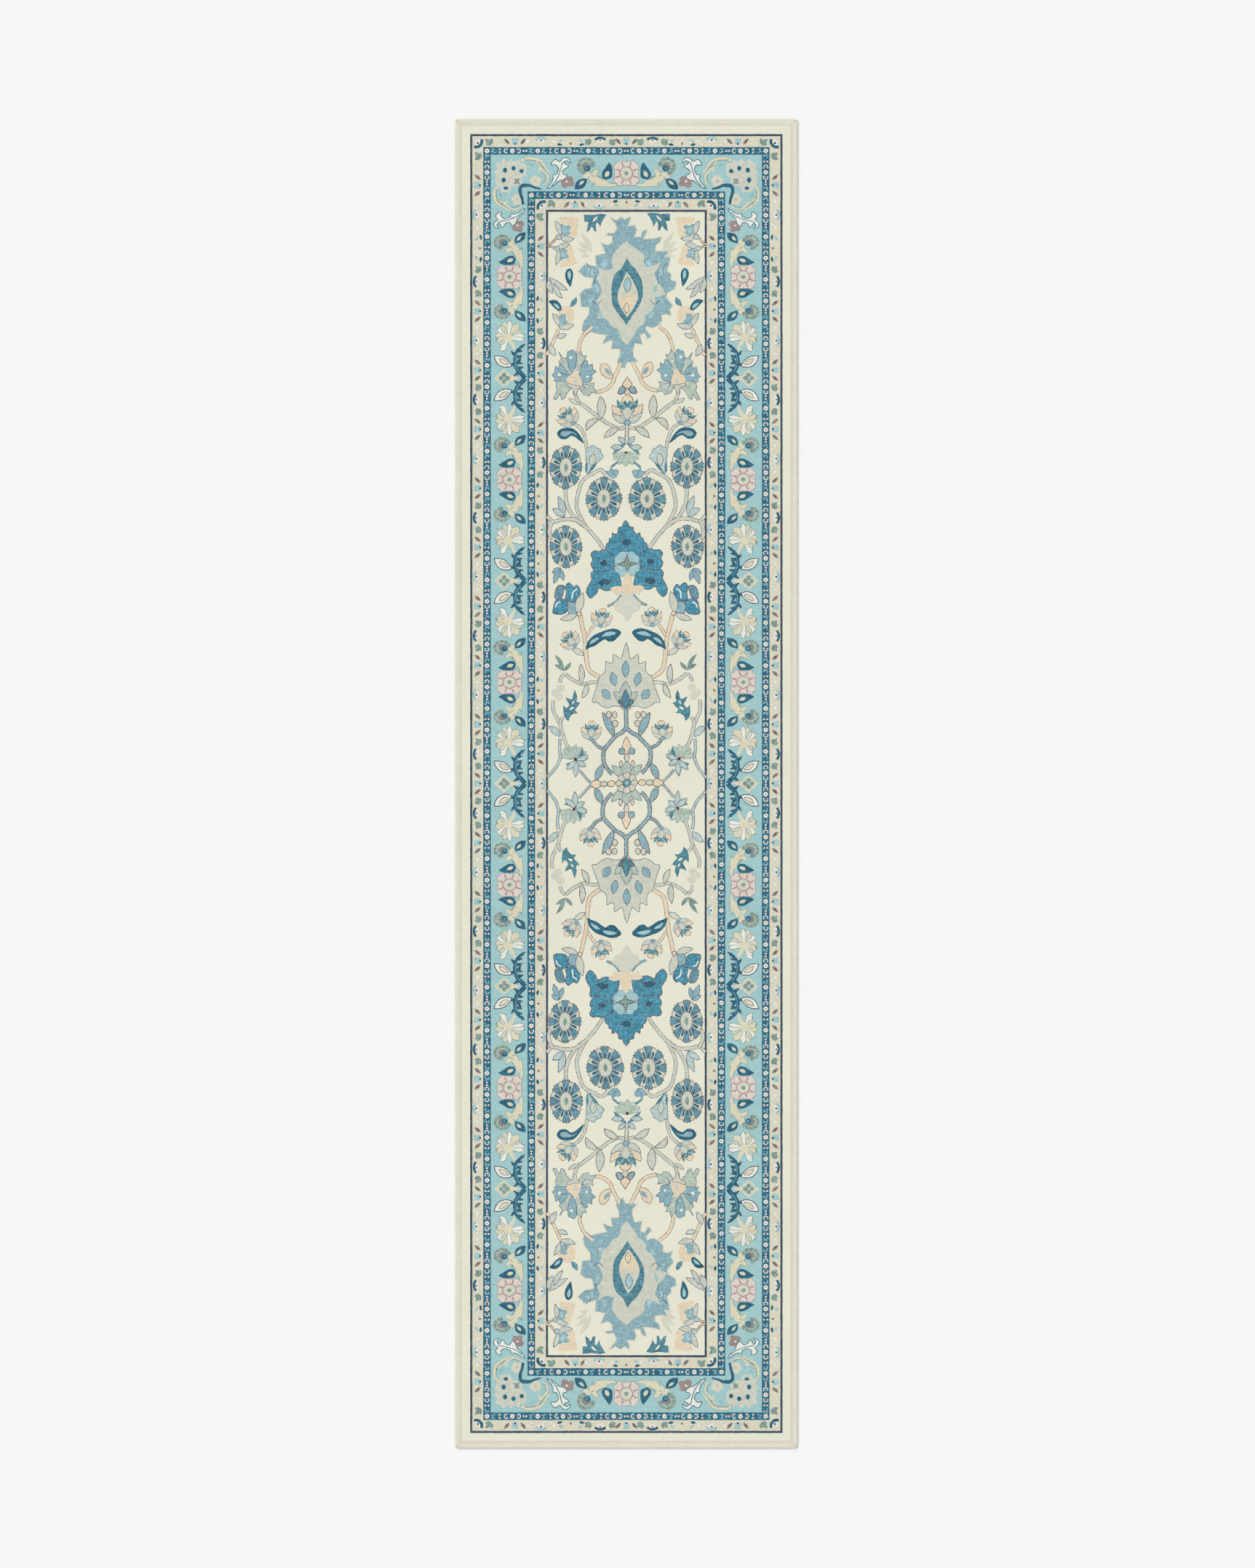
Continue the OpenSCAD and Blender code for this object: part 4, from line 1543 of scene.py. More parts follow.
@dataclass
class BorderDesign:
    """The sky border: rosettes with sprays, fans and diamonds, and a palmette in each corner.

    The drawings have the distance along the border as x and the distance from its inner edge
    as y.
    """

    repeat: float = 225.5
    squash: float = 0.86
    inner: Point = field(default_factory=lambda: half_size("inner_stripe_pile"))

    def rosette(self) -> Sketch:
        """The blush rosette.

        Returns:
            The drawing.
        """
        draw = Sketch()
        middle = (0.0, 40.0)
        for k in range(8):
            far = 34 if k % 2 else 28
            draw.petal(BLUSH, middle, 45 * k, 8, far, 24, 0.6, 2, ROSE, 0.9)
        for k in range(8):
            turn = math.radians(22.5 + 45 * k)
            near, far = ((reach * math.cos(turn), 40 + reach * math.sin(turn)) for reach in (14, 26))
            draw.leaf(ROSE, near, far, 2.4)
        draw.dot(STONE, middle, 29, 31, ROSE, 8, 1.6)
        draw.dot(GHOST, middle, 19, 19, STRAW, 12)
        draw.dot(GREEN, middle, 9, 10)
        return draw

    def spray(self) -> Sketch:
        """The drop, arabesque, carnation and leaf beside a rosette.

        Returns:
            The drawing.
        """
        draw = Sketch()
        draw.shape(STRAW, [(20, 15), (28, 17), (38, 18), (44, 24), (52, 27), (60, 30), (66, 34), (64, 41),
            (60, 47), (66, 49), (73, 46), (77, 40), (82, 43), (90, 42), (95, 36), (99, 33), (92, 29),
            (85, 28), (81, 22), (73, 20), (69, 17), (75, 13), (60, 11), (45, 10), (30, 10)], GREEN, 0.9)
        for knots in ([(54, 25), (56, 31), (66, 35)], [(70, 15), (78, 13)], [(72, 33), (79, 37)]):
            draw.stem(GREEN, knots, 1.6)
        draw.shape(NAVY, [(38, 65, 1), (32, 55), (31, 42), (32, 32), (38, 28), (47, 26, 1), (53, 30),
            (55, 36), (53, 44), (46, 54)])
        draw.leaf(STRAW, (47, 31), (39, 46), 10, 0, TEAL)
        for k in range(7):
            draw.petal(GREEN, (90, 56), -62 + 37 * k, 3, 22, 15, 0.5, 2, SAGE, 1.2)
        draw.stem(SAGE, [(80, 62), (88, 68), (97, 66), (101, 58), (99, 50)], 2.4)
        draw.dot(MAUVE, (89, 55), 19, 16)
        draw.dot(NAVY, (87, 51), 14, 13)
        draw.dot(DEEP, (88, 51), 8, 7)
        draw.leaf(NAVY, (87, 27), (115, 4), 20, 1)
        draw.leaf(STRAW, (93, 24), (106, 14), 7, 0, TEAL)
        draw.dot(SKY, (84, 31), 5)
        draw.settle()
        return draw

    def acanthus(self) -> Sketch:
        """The white acanthus leaf, the little rose sprig and the straw scroll by a corner.

        Returns:
            The drawing.
        """
        draw = Sketch()
        for at, across in (((126, 27), 13), ((123, 17), 11), ((137, 15), 13), ((139, 21), 10)):
            draw.dot(GREEN, at, across, across * 0.9, ROSE, 9, 3.0)
        draw.dot(WHITE, (133, 22), 5)
        draw.shape(WHITE, [(177, 6, 1), (168, 9), (158, 16), (150, 23), (142, 25), (135, 29), (132, 36),
            (138, 37), (142, 42), (139, 48), (130, 54), (129, 58), (137, 61), (137, 66), (132, 68),
            (125, 63), (126, 70), (134, 75), (142, 73), (148, 66), (155, 70), (161, 70), (167, 63),
            (167, 58), (158, 59), (151, 51), (153, 43), (157, 37), (163, 37), (163, 28), (167, 19),
            (173, 12)], TEAL, 2.0)
        draw.stem(TEAL, [(136, 66), (143, 62), (146, 50), (150, 37), (157, 23), (167, 12)], 2.2)
        draw.stem(STRAW, [(233, 68), (220, 73), (205, 73), (193, 69), (184, 60), (178, 50), (170, 40)], 9,
            GREEN, 0.4, 0.8)
        draw.stem(STRAW, [(202, 67), (191, 56), (185, 45), (177, 38), (175, 28), (179, 18), (185, 13)], 8,
            GREEN, 0.5, 0.8)
        draw.leaf(STRAW, (190, 58), (194, 42), 6)
        for knots in ([(228, 70), (207, 69), (196, 63), (188, 53)], [(192, 62), (183, 50)], [(181, 36),
                (180, 26), (186, 18)], [(206, 56), (216, 62)]):
            draw.stem(GREEN, knots, 1.5)
        draw.settle()
        return draw

    def fan(self) -> Sketch:
        """The fan, the thorny branch, the white leaf and half the diamond between two rosettes.

        Returns:
            The drawing, with the diamond's middle at x = 0.
        """
        draw = Sketch()
        for base, tip in (((14, 18), (6, 29)), ((22, 22), (24, 11)), ((32, 27), (29, 39)), ((36, 24),
                (33, 13)), ((46, 26), (50, 14)), ((50, 28), (59, 35)), ((60, 24), (61, 13)), ((30, 24),
                (46, 15)), ((66, 18), (75, 7))):
            draw.leaf(NAVY, base, tip, 7.5)
            draw.dot(PLUM, tip, 4)
        draw.stem(NAVY, [(0, 6), (7, 11), (15, 19), (24, 25), (36, 28), (50, 27), (62, 22), (73, 10)], 11,
            None, 0.5)
        draw.stem(DENIM, [(12, 16), (24, 24), (42, 27), (58, 23)], 2.2)
        draw.leaf(WHITE, (27, 35), (50, 74), 21, 2, SLATE, rim=1.8)
        draw.leaf(STRAW, (31, 42), (44, 63), 10, 1, INK)
        draw.stem(STRAW, [(86, 40), (74, 33), (63, 28)], 11, None, 0.4)
        middle = (90, 43)
        for angle, far, width, dye in ((14, 37, 14, STRAW), (-38, 38, 19, STRAW), (78, 29, 16, STRAW),
                (102, 28, 15, STRAW), (-6, 39, 11, WHITE), (45, 35, 12, WHITE), (-64, 34, 12, STONE),
                (-82, 37, 13, WHITE), (-97, 36, 10, WHITE), (152, 34, 14, WHITE), (128, 24, 9, STONE),
                (29, 32, 9, STONE)):
            draw.petal(dye, middle, angle, 7, far, width, 0.4, 1, GREEN, 1.1)
        draw.dot(STRAW, middle, 20, 20)
        for at in ((112, 65), (69, 60), (97, 8), (88, 67), (84, 69)):
            draw.dot(GREEN, at, 4)
        draw.settle()
        return draw

    def diamond(self) -> Sketch:
        """The stone diamond with a green cross and its cream spike.

        Returns:
            The drawing.
        """
        draw = Sketch()
        draw.leaf(STRAW, (0, 9), (0, 52), 12, belly=0.7)
        draw.shape(STONE, [(0, 36, 1), (10, 42), (19, 53, 1), (10, 62), (0, 73, 1), (-10, 62), (-19, 53, 1),
            (-10, 42)], STRAW, 2.0)
        for x, y, size in ((0, 45, 11), (7, 52, 10), (-7, 52, 10), (0, 59, 9)):
            draw.dot(GREEN, (x, y), size)
        draw.dot(SAGE, (0, 52), 5)
        draw.settle()
        return draw

    def corner(self) -> Sketch:
        """The corner palmette on its hook, in the rug's own millimetres.

        Returns:
            The drawing.
        """
        draw = Sketch()
        for at in ((202, 1341), (243, 1300)):
            for k in range(5):
                draw.petal(GHOST, at, 72 * k + 10, 2, 13, 12, 0.5, 1, STRAW, 1.0)
            draw.dot(SAGE, at, 6)
        draw.stem(NAVY, [(228, 1331), (215, 1331), (203, 1326), (190, 1323)], 8, None, 0.35)
        draw.stem(NAVY, [(221, 1331), (230, 1331), (236, 1325), (236, 1315), (232, 1301), (230, 1289)], 8,
            None, 0.7)
        outline = ((220, 1374), (229, 1378), (235, 1381), (240, 1385), (249, 1384), (257, 1387),
            (264, 1382), (272, 1387), (281, 1383), (288, 1377), (287, 1369), (289, 1361), (291, 1354),
            (289, 1345), (291, 1338), (285, 1332), (283, 1325), (276, 1319), (268, 1315), (260, 1318),
            (254, 1326), (247, 1331), (237, 1333), (233, 1341), (234, 1348), (226, 1355))
        teeth = []
        for i, (x, y) in enumerate(outline):
            reach = 1.07 if i % 2 else 0.93
            teeth.append((258 + (x - 258) * reach, 1352 + (y - 1352) * reach))
        draw.shape(STONE, teeth, BLUSH, 1.8, smooth=False)
        draw.stem(BLUSH, [(236, 1352), (246, 1350), (254, 1344), (256, 1332)], 3)
        for at, wide, tall in (((233, 1363), 9, 9), ((251, 1369), 9, 10), ((270, 1365), 9, 11),
                ((273, 1343), 9, 11), ((268, 1325), 10, 7)):
            draw.dot(NAVY, at, wide, tall, DEEP)
        draw.shape(GREEN, [(237, 1348, 1), (244, 1345), (250, 1347, 1), (248, 1340), (251, 1334, 1),
            (244, 1335), (237, 1333, 1), (239, 1341)])
        draw.settle()
        return draw

    def build(self) -> list[Plate]:
        """Draw the upper right quarter.

        Returns:
            Its patches.
        """
        wide, tall = self.inner
        quarter = Sketch()
        rosette, spray, acanthus = self.rosette(), self.spray(), self.acanthus()
        rosette.settle()
        fan, diamond = self.fan(), self.diamond()
        for k in (1, 3, 5):
            spot = (wide, self.repeat * k)
            quarter.stamp(rosette, spot, 90, (self.squash + 0.1, -1))
            for hand in (-1, 1):
                quarter.stamp(spray, spot, 90, (hand * self.squash, -1))
        quarter.stamp(acanthus, (wide, self.repeat * 5), 90, (self.squash, -1))
        quarter.stamp(diamond, (wide, 0), 90, (1, -1))
        quarter.stamp(fan, (wide, 0), 90, (1, -1))
        for k in (2, 4):
            quarter.stamp(diamond, (wide, self.repeat * k), 90, (1, -1))
            for hand in (-1, 1):
                quarter.stamp(fan, (wide, self.repeat * k), 90, (hand, -1))
        quarter.stamp(rosette, (0, tall))
        quarter.stamp(spray, (0, tall))
        quarter.stamp(acanthus, (0, tall))
        quarter.stamp(self.corner())
        return quarter.plates


@dataclass
class GuardDesign:
    """The two sand guard bands: flowers and dashes in a running order.

    The drawings have the distance along the band as x and the distance from its dark line
    as y. A letter stands for each flower: P for the pointed arc, R for the round one, S for
    the sky blossom and N for the eye between slanted dashes.
    """

    outer: Point = field(default_factory=lambda: half_size("outer_guard_pile"))
    inner: Point = field(default_factory=lambda: half_size("field_pile"))
    line: float = 4.0

    def cluster(self, letter: str) -> Sketch:
        """One flower with what stands beside it.

        Args:
            letter: Which flower.

        Returns:
            The drawing.
        """
        draw = Sketch()
        if letter in "PR":
            arc, eye = (NAVY, MAUVE) if letter == "P" else (SKY, SLATE)
            for k in (-1, 0, 1):
                draw.petal(WHITE, (0, 6), 90 + 42 * k, 0, 11, 8, 0.6, 1, BLUSH, 1.0)
            draw.stem(arc, [(-12, 8), (-6, 5), (0, 4), (6, 5), (12, 8)], 5.5)
            draw.dot(eye, (0, 9.5), 4.5)
            for hand in (-1, 1):
                draw.stem(GHOST, [(hand * 12, 16), (hand * 18, 19)], 1.6)
                if letter == "P":
                    for tip, width in (((35, 8), 9), ((25, 5), 8), ((35, 17), 7)):
                        draw.leaf(GREEN, (hand * 21, 18), (hand * tip[0], tip[1]), width)
                else:
                    draw.leaf(WHITE, (hand * 18, 20), (hand * 32, 7), 9, hand * 2, GHOST)
                    draw.leaf(GHOST, (hand * 20, 12), (hand * 31, 18), 6, hand)
        elif letter == "S":
            for k in range(4):
                draw.petal(SKY, (0, 11), 45 + 90 * k, 0, 9, 8, 0.6)
            draw.dot(NAVY, (0, 17.5), 5)
            for hand in (-1, 1):
                draw.leaf(MAUVE, (hand * 12, 19), (hand * 24, 5), 7.5)
                draw.leaf(PLUM, (hand * 15, 15), (hand * 21, 9), 2.2)
        elif letter == "N":
            draw.dot(MAUVE, (0, 17), 5.5, 6)
            for hand in (-1, 1):
                draw.leaf(SKY, (hand * 17, 6), (hand * 27, 14), 6)
                draw.leaf(NAVY, (hand * 18, 20), (hand * 31, 18), 6)
        elif letter == "G":
            for tip, width in (((8, 6), 9), ((-7, 5), 8), ((8, 17), 7)):
                draw.leaf(GREEN, (-7, 18), tip, width, 1)
        draw.settle()
        return draw

    def corner(self) -> Sketch:
        """The flower across a corner, pointing away from the rug's middle.

        Returns:
            The drawing, with its middle at its origin.
        """
        draw = Sketch()
        for k in (-1, 0, 1):
            draw.petal(WHITE, (0, -2), 90 + 48 * k, 0, 12, 9, 0.6, 1, BLUSH, 1.0)
        draw.stem(NAVY, [(-12, 2), (-6, -4), (0, -5), (6, -4), (12, 2)], 6.5)
        draw.dot(SLATE, (0, 2), 5)
        draw.settle()
        return draw

    def run(self, order: str, reach: float) -> list[tuple[str, float]]:
        """Where the flowers of a run stand.

        Args:
            order: Their letters, from the middle of the side.
            reach: How far the last one is from the middle.

        Returns:
            Each letter and its place.
        """
        spans = [1.13 if a == "N" or b == "N" else 1.0 for a, b in zip(order, order[1:])]
        places = [sum(spans[:i]) for i in range(len(order))]
        return [(letter, reach * at / places[-1]) for letter, at in zip(order, places)]

    def build(self) -> list[Plate]:
        """Draw the upper right quarter.

        Returns:
            Its patches.
        """
        quarter = Sketch()
        (wide, tall), (near, top) = self.outer, self.inner
        near, top = near + self.line, top + self.line
        clusters = {letter: self.cluster(letter) for letter in "PRSNG"}
        runs = (("SPSRSPSRSPSRSPSRSPNRSG", 1397.0, (wide, 0.0), 90, (1, 1)), ("RSPNRSPNRNPSRSPNRSG", 1262.0,
            (near, 0.0), 90, (1, -1)), ("SPNRSG", 306.0, (0.0, tall), 0, (1, -1)), ("NRSG", 168.0, (0.0,
            top), 0, (1, 1)))
        for order, reach, at, turn, scale in runs:
            for letter, place in self.run(order, reach):
                moved = (at[0], place) if turn else (place, at[1])
                quarter.stamp(clusters[letter], moved, turn, scale)
        quarter.stamp(self.corner(), (wide - 14, tall - 17), -45)
        quarter.stamp(self.corner(), (near + 11, top + 11), 135)
        return quarter.plates


@dataclass
class StripeDesign:
    """The two teal stripes with their small stars, rings and pairs of drops."""

    outer: Point = field(default_factory=lambda: half_size("outer_stripe_pile"))
    inner: Point = field(default_factory=lambda: half_size("inner_stripe_pile"))
    width: float = 17.0

    def bead(self, kind: int) -> Sketch:
        """One of the eight elements that take turns.

        Args:
            kind: Its number from 0 to 7.

        Returns:
            The drawing.
        """
        draw = Sketch()
        if kind in (2, 6):
            draw.dot(WHITE, (0, 0), 9.5, 10, BLUSH, 7)
            draw.dot(ROSE if kind == 2 else MAUVE, (0, 0), 3.4)
        elif kind in (0, 4):
            for hand in (-1, 1):
                at = (hand * 3.2, 0) if kind == 0 else (0, hand * 3.4)
                draw.dot(BLUSH, at, 4.4, 5.0)
            draw.dot(ROSE if kind == 0 else PLUM, (0, 0), 3.0)
        elif kind in (1, 3):
            hand = 1 if kind == 1 else -1
            draw.stem(BLUSH, [(hand * 4, 4), (0, 5), (-hand * 4, 1), (-hand * 2, -4),
                (hand * 3, -4.5)], 2.5)
            draw.dot(CHALK, (hand * 2, 0), 2.6)
        else:
            draw.stem(CHALK, [(-5, -3), (-1, -4), (2, 0), (-1, 4), (4, 4.5)], 2.6)
            draw.dot(FROST, (4, -2), 2.6)
        draw.settle()
        return draw

    def build(self) -> list[Plate]:
        """Draw the upper right quarter.

        Returns:
            Its patches.
        """
        quarter = Sketch()
        beads = [self.bead(kind) for kind in range(8)]
        for (wide, tall), long_side, short_side in ((self.outer, 118, 22), (self.inner, 102, 14)):
            x, y = wide - self.width / 2, tall - self.width / 2
            for i in range(long_side + 1):
                quarter.stamp(beads[i % 8], (x, y * i / long_side), 90)
            for i in range(short_side):
                quarter.stamp(beads[i % 8], (x * i / short_side, y))
        return quarter.plates


def rug_plates() -> list[Plate]:
    """Every patch of the pattern, over the whole rug.

    Returns:
        The patches.
    """
    frame_bands = Sketch()
    for design in (BorderDesign(), GuardDesign(), StripeDesign()):
        frame_bands.plates += design.build()
    return FieldDesign().build() + frame_bands.mirrored().plates


def half_size(node: str) -> Point:
    """Half the width and half the length of a node, in millimetres."""
    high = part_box(node)[1]
    return high[0] / MM, high[1] / MM


def level_of(node: str, top: bool = True) -> float:
    """The height of a node's top or underside, in millimetres."""
    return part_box(node)[1 if top else 0][2] / MM


@dataclass
class PileGround:
    """The plain ground of the pile: broad bands, with narrow stripes woven over their joins."""

    top: float = field(default_factory=lambda: level_of("field_pile"))
    low: float = field(default_factory=lambda: level_of("field_pile", top=False))
    lift: float = 0.05
    tuck: float = 2.0
    spread: float = 0.45
    waver: float = 0.28
    pitch: float = 7.0

    def ring(self, outer: Point, inner: Point, waver: float, lift: float, soft: bool) -> Solid:
        """A band that runs round the rug.

        Args:
            outer: Half the width and length of its outer edge.
            inner: The same of its inner edge.
            waver: How far its edges stray.
            lift: How far its face stands above the other bands.
            soft: Whether its outer edge is rounded over.

        Returns:
            The band.
        """
        rng = random.Random(round(outer[0] * 7 + inner[0]))
        high = self.top + lift
        rings: list[list[tuple[float, float, float]]] = []
        corners = [(1, -1), (1, 1), (-1, 1), (-1, -1)]
        for (sx, sy), (ex, ey) in zip(corners, corners[1:] + corners[:1]):
            a, b = (sx * outer[0], sy * outer[1]), (ex * outer[0], ey * outer[1])
            c, d = (sx * inner[0], sy * inner[1]), (ex * inner[0], ey * inner[1])
            parts = max(2, round(math.dist(a, b) / self.pitch))
            normal = Vector((b[1] - a[1], a[0] - b[0])).normalized()
            for i in range(parts):
                t = i / parts
                stray = [rng.uniform(-waver, waver) if i else 0.0 for _ in range(2)]
                out = Vector(a).lerp(Vector(b), t) + normal * stray[0]
                into = Vector(c).lerp(Vector(d), t) + normal * stray[1]
                way = (into - out).normalized()
                section = [(0.0, self.low), (0.0, high)]
                if soft:
                    section = [(0.0, self.low), (0.0, high - 0.9), (0.25, high - 0.35), (0.9, high)]
                ring = [(*(out + way * g), z) for g, z in section]
                rings.append(ring + [(*into, high), (*into, self.low)])
        solid = Solid()
        solid.sweep(rings, running(rings[0]), running([ring[0] for ring in rings]), joined=True)
        return solid

    def field_sheet(self, half: Point) -> Solid:
        """The plain middle of the rug.

        Args:
            half: Half its width and length.

        Returns:
            The sheet.
        """
        wide, tall = half
        count = round(2 * tall / 12)
        rings = []
        for i in range(count + 1):
            y = -tall + 2 * tall * i / count
            rings.append([(-wide, y, self.low), (wide, y, self.low),
                          (wide, y, self.top), (-wide, y, self.top)])
        thick = self.top - self.low
        girth = [0, 2 * wide, 2 * wide + thick, 4 * wide + thick, 4 * wide + 2 * thick]
        solid = Solid()
        solid.sweep(rings, girth, [2 * tall * i / count for i in range(count + 1)])
        return solid

    def build(self) -> list[bpy.types.Object]:
        """Build every band.

        Returns:
            The pieces, the field's sheet first.
        """
        names = ["margin_pile", "outer_line_pile", "outer_guard_pile", "outer_stripe_pile",
                 "main_border_pile", "inner_stripe_pile", "inner_guard_pile", "inner_line_pile",
                 "field_pile"]
        dyes = [IVORY, SLATE, SAND, STRIPE, BORDER, STRIPE, SAND,
                SLATE, IVORY]
        sizes = [half_size(n) for n in names]
        pieces: list[bpy.types.Object] = []
        for i, (node, dye) in enumerate(zip(names, dyes)):
            over = i % 2 == 1
            spread = self.spread if "line" in node else 0.0
            tuck = spread if over or i == 0 else self.tuck
            outer = (sizes[i][0] + tuck, sizes[i][1] + tuck)
            yarn = YARNS[dye]
            if node == "field_pile":
                solid = self.field_sheet(outer)
            else:
                under = spread if over else self.tuck
                inner = (sizes[i + 1][0] - under, sizes[i + 1][1] - under)
                solid = self.ring(
                    outer, inner, self.waver if over else 0.0, self.lift if over else 0.0, i == 0
                )
            name = node.replace("_pile", "_ground")
            pieces.insert(0, solid.finish(name, yarn.material(), yarn.slot, [node]))
        return pieces


@dataclass
class Core:
    """The layers under the pile: ground weave, latex coat and felt."""

    radius: float = 5.2
    pitch: float = 14.0

    def slab(self, node: str, relief: float, across: int) -> Solid:
        """A thin layer with round corners and an uneven underside.

        Args:
            node: The CAD node it stands for.
            relief: How uneven its underside is.
            across: The strips its underside has.

        Returns:
            The layer.
        """
        rng = random.Random(node)
        wide, tall = half_size(node)
        low, high = level_of(node, top=False), level_of(node)
        stops = [0.0, 0.6, 1.6, 3.2, self.radius]
        count = round((2 * tall - 2 * self.radius) / self.pitch)
        inner = [self.radius + (2 * tall - 2 * self.radius) * i / count for i in range(1, count)]
        ends = stops + inner + [2 * tall - s for s in reversed(stops)]
        rings, along = [], []
        for s in ends:
            reach = min(s, 2 * tall - s)
            cut = 0.0
            if reach < self.radius:
                cut = self.radius - math.sqrt(self.radius ** 2 - (self.radius - reach) ** 2)
            half = wide - cut
            ring = [(half, s - tall, high), (-half, s - tall, high)]
            for k in range(across + 1):
                x = -half + 2 * half * k / across
                rise = rng.uniform(0, relief) if 0 < k < across and cut == 0 else 0.0
                ring.append((x, s - tall, low + rise))
            rings.append(ring)
            along.append(s)
        thick = high - low
        girth = [0.0, 2 * wide] + [2 * wide + thick + 2 * wide * k / across
                                   for k in range(across + 1)]
        girth.append(girth[-1] + thick)
        solid = Solid()
        solid.sweep(rings, girth, along)
        return solid

    def build(self) -> list[bpy.types.Object]:
        """Build the three layers.

        Returns:
            The pieces, the felt first.
        """
        return [
            self.slab("felt_backing", 0.16, 54).finish(
                "needled_felt", BACKING.material(), "felt", ["felt_backing"], smooth=40),
            self.slab("latex_coat", 0.04, 12).finish(
                "latex_layer", LATEX.material(), "latex", ["latex_coat"], smooth=40),
            self.slab("ground_weave", 0.05, 12).finish(
                "jute_ground", JUTE.material(), "ground_weave", ["ground_weave"], smooth=40),
        ]


@dataclass
class GripBeads:
    """The silicone beads on the back: extruded lines that swell and thin a little."""

    width: float = 5.0
    pitch: float = 40.0
    step: float = 22.0

    def build(self) -> None:
        """Build all the beads as one piece."""
        rng = random.Random(18)
        low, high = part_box("grip_beads")
        half = high[1] / MM
        count = round((high[0] / MM * 2 - self.width) / self.pitch) + 1
        tall = (high[2] - low[2]) / MM
        solid = Solid()
        for i in range(count):
            middle = (i - (count - 1) / 2) * self.pitch
            parts = round(2 * half / self.step)
            stops = [0.0, 0.7, 2.0] + [2 * half * k / parts for k in range(1, parts)]
            stops += [2 * half - 2.0, 2 * half - 0.7, 2 * half]
            rings = []
            for s in stops:
                reach = min(s, 2 * half - s)
                full = 0.35 if reach == 0 else 0.8 if reach < 1 else 1.0
                swell = full * (1 + rng.uniform(-0.05, 0.0) * (reach > 3))
                radius = self.width / 2 * swell
                ring = []
                for k in range(9):
                    a = math.pi * k / 8
                    ring.append((middle + radius * math.cos(a), s - half,
                                 tall + 0.05 - tall * swell ** 0.5 * math.sin(a)))
                rings.append(ring)
            girth = [(i * 12.0) + k for k in range(10)]
            solid.sweep(rings, girth, stops)
        solid.finish("silicone_beads", BEAD.material(), "grip_bead", ["grip_beads"], 50)


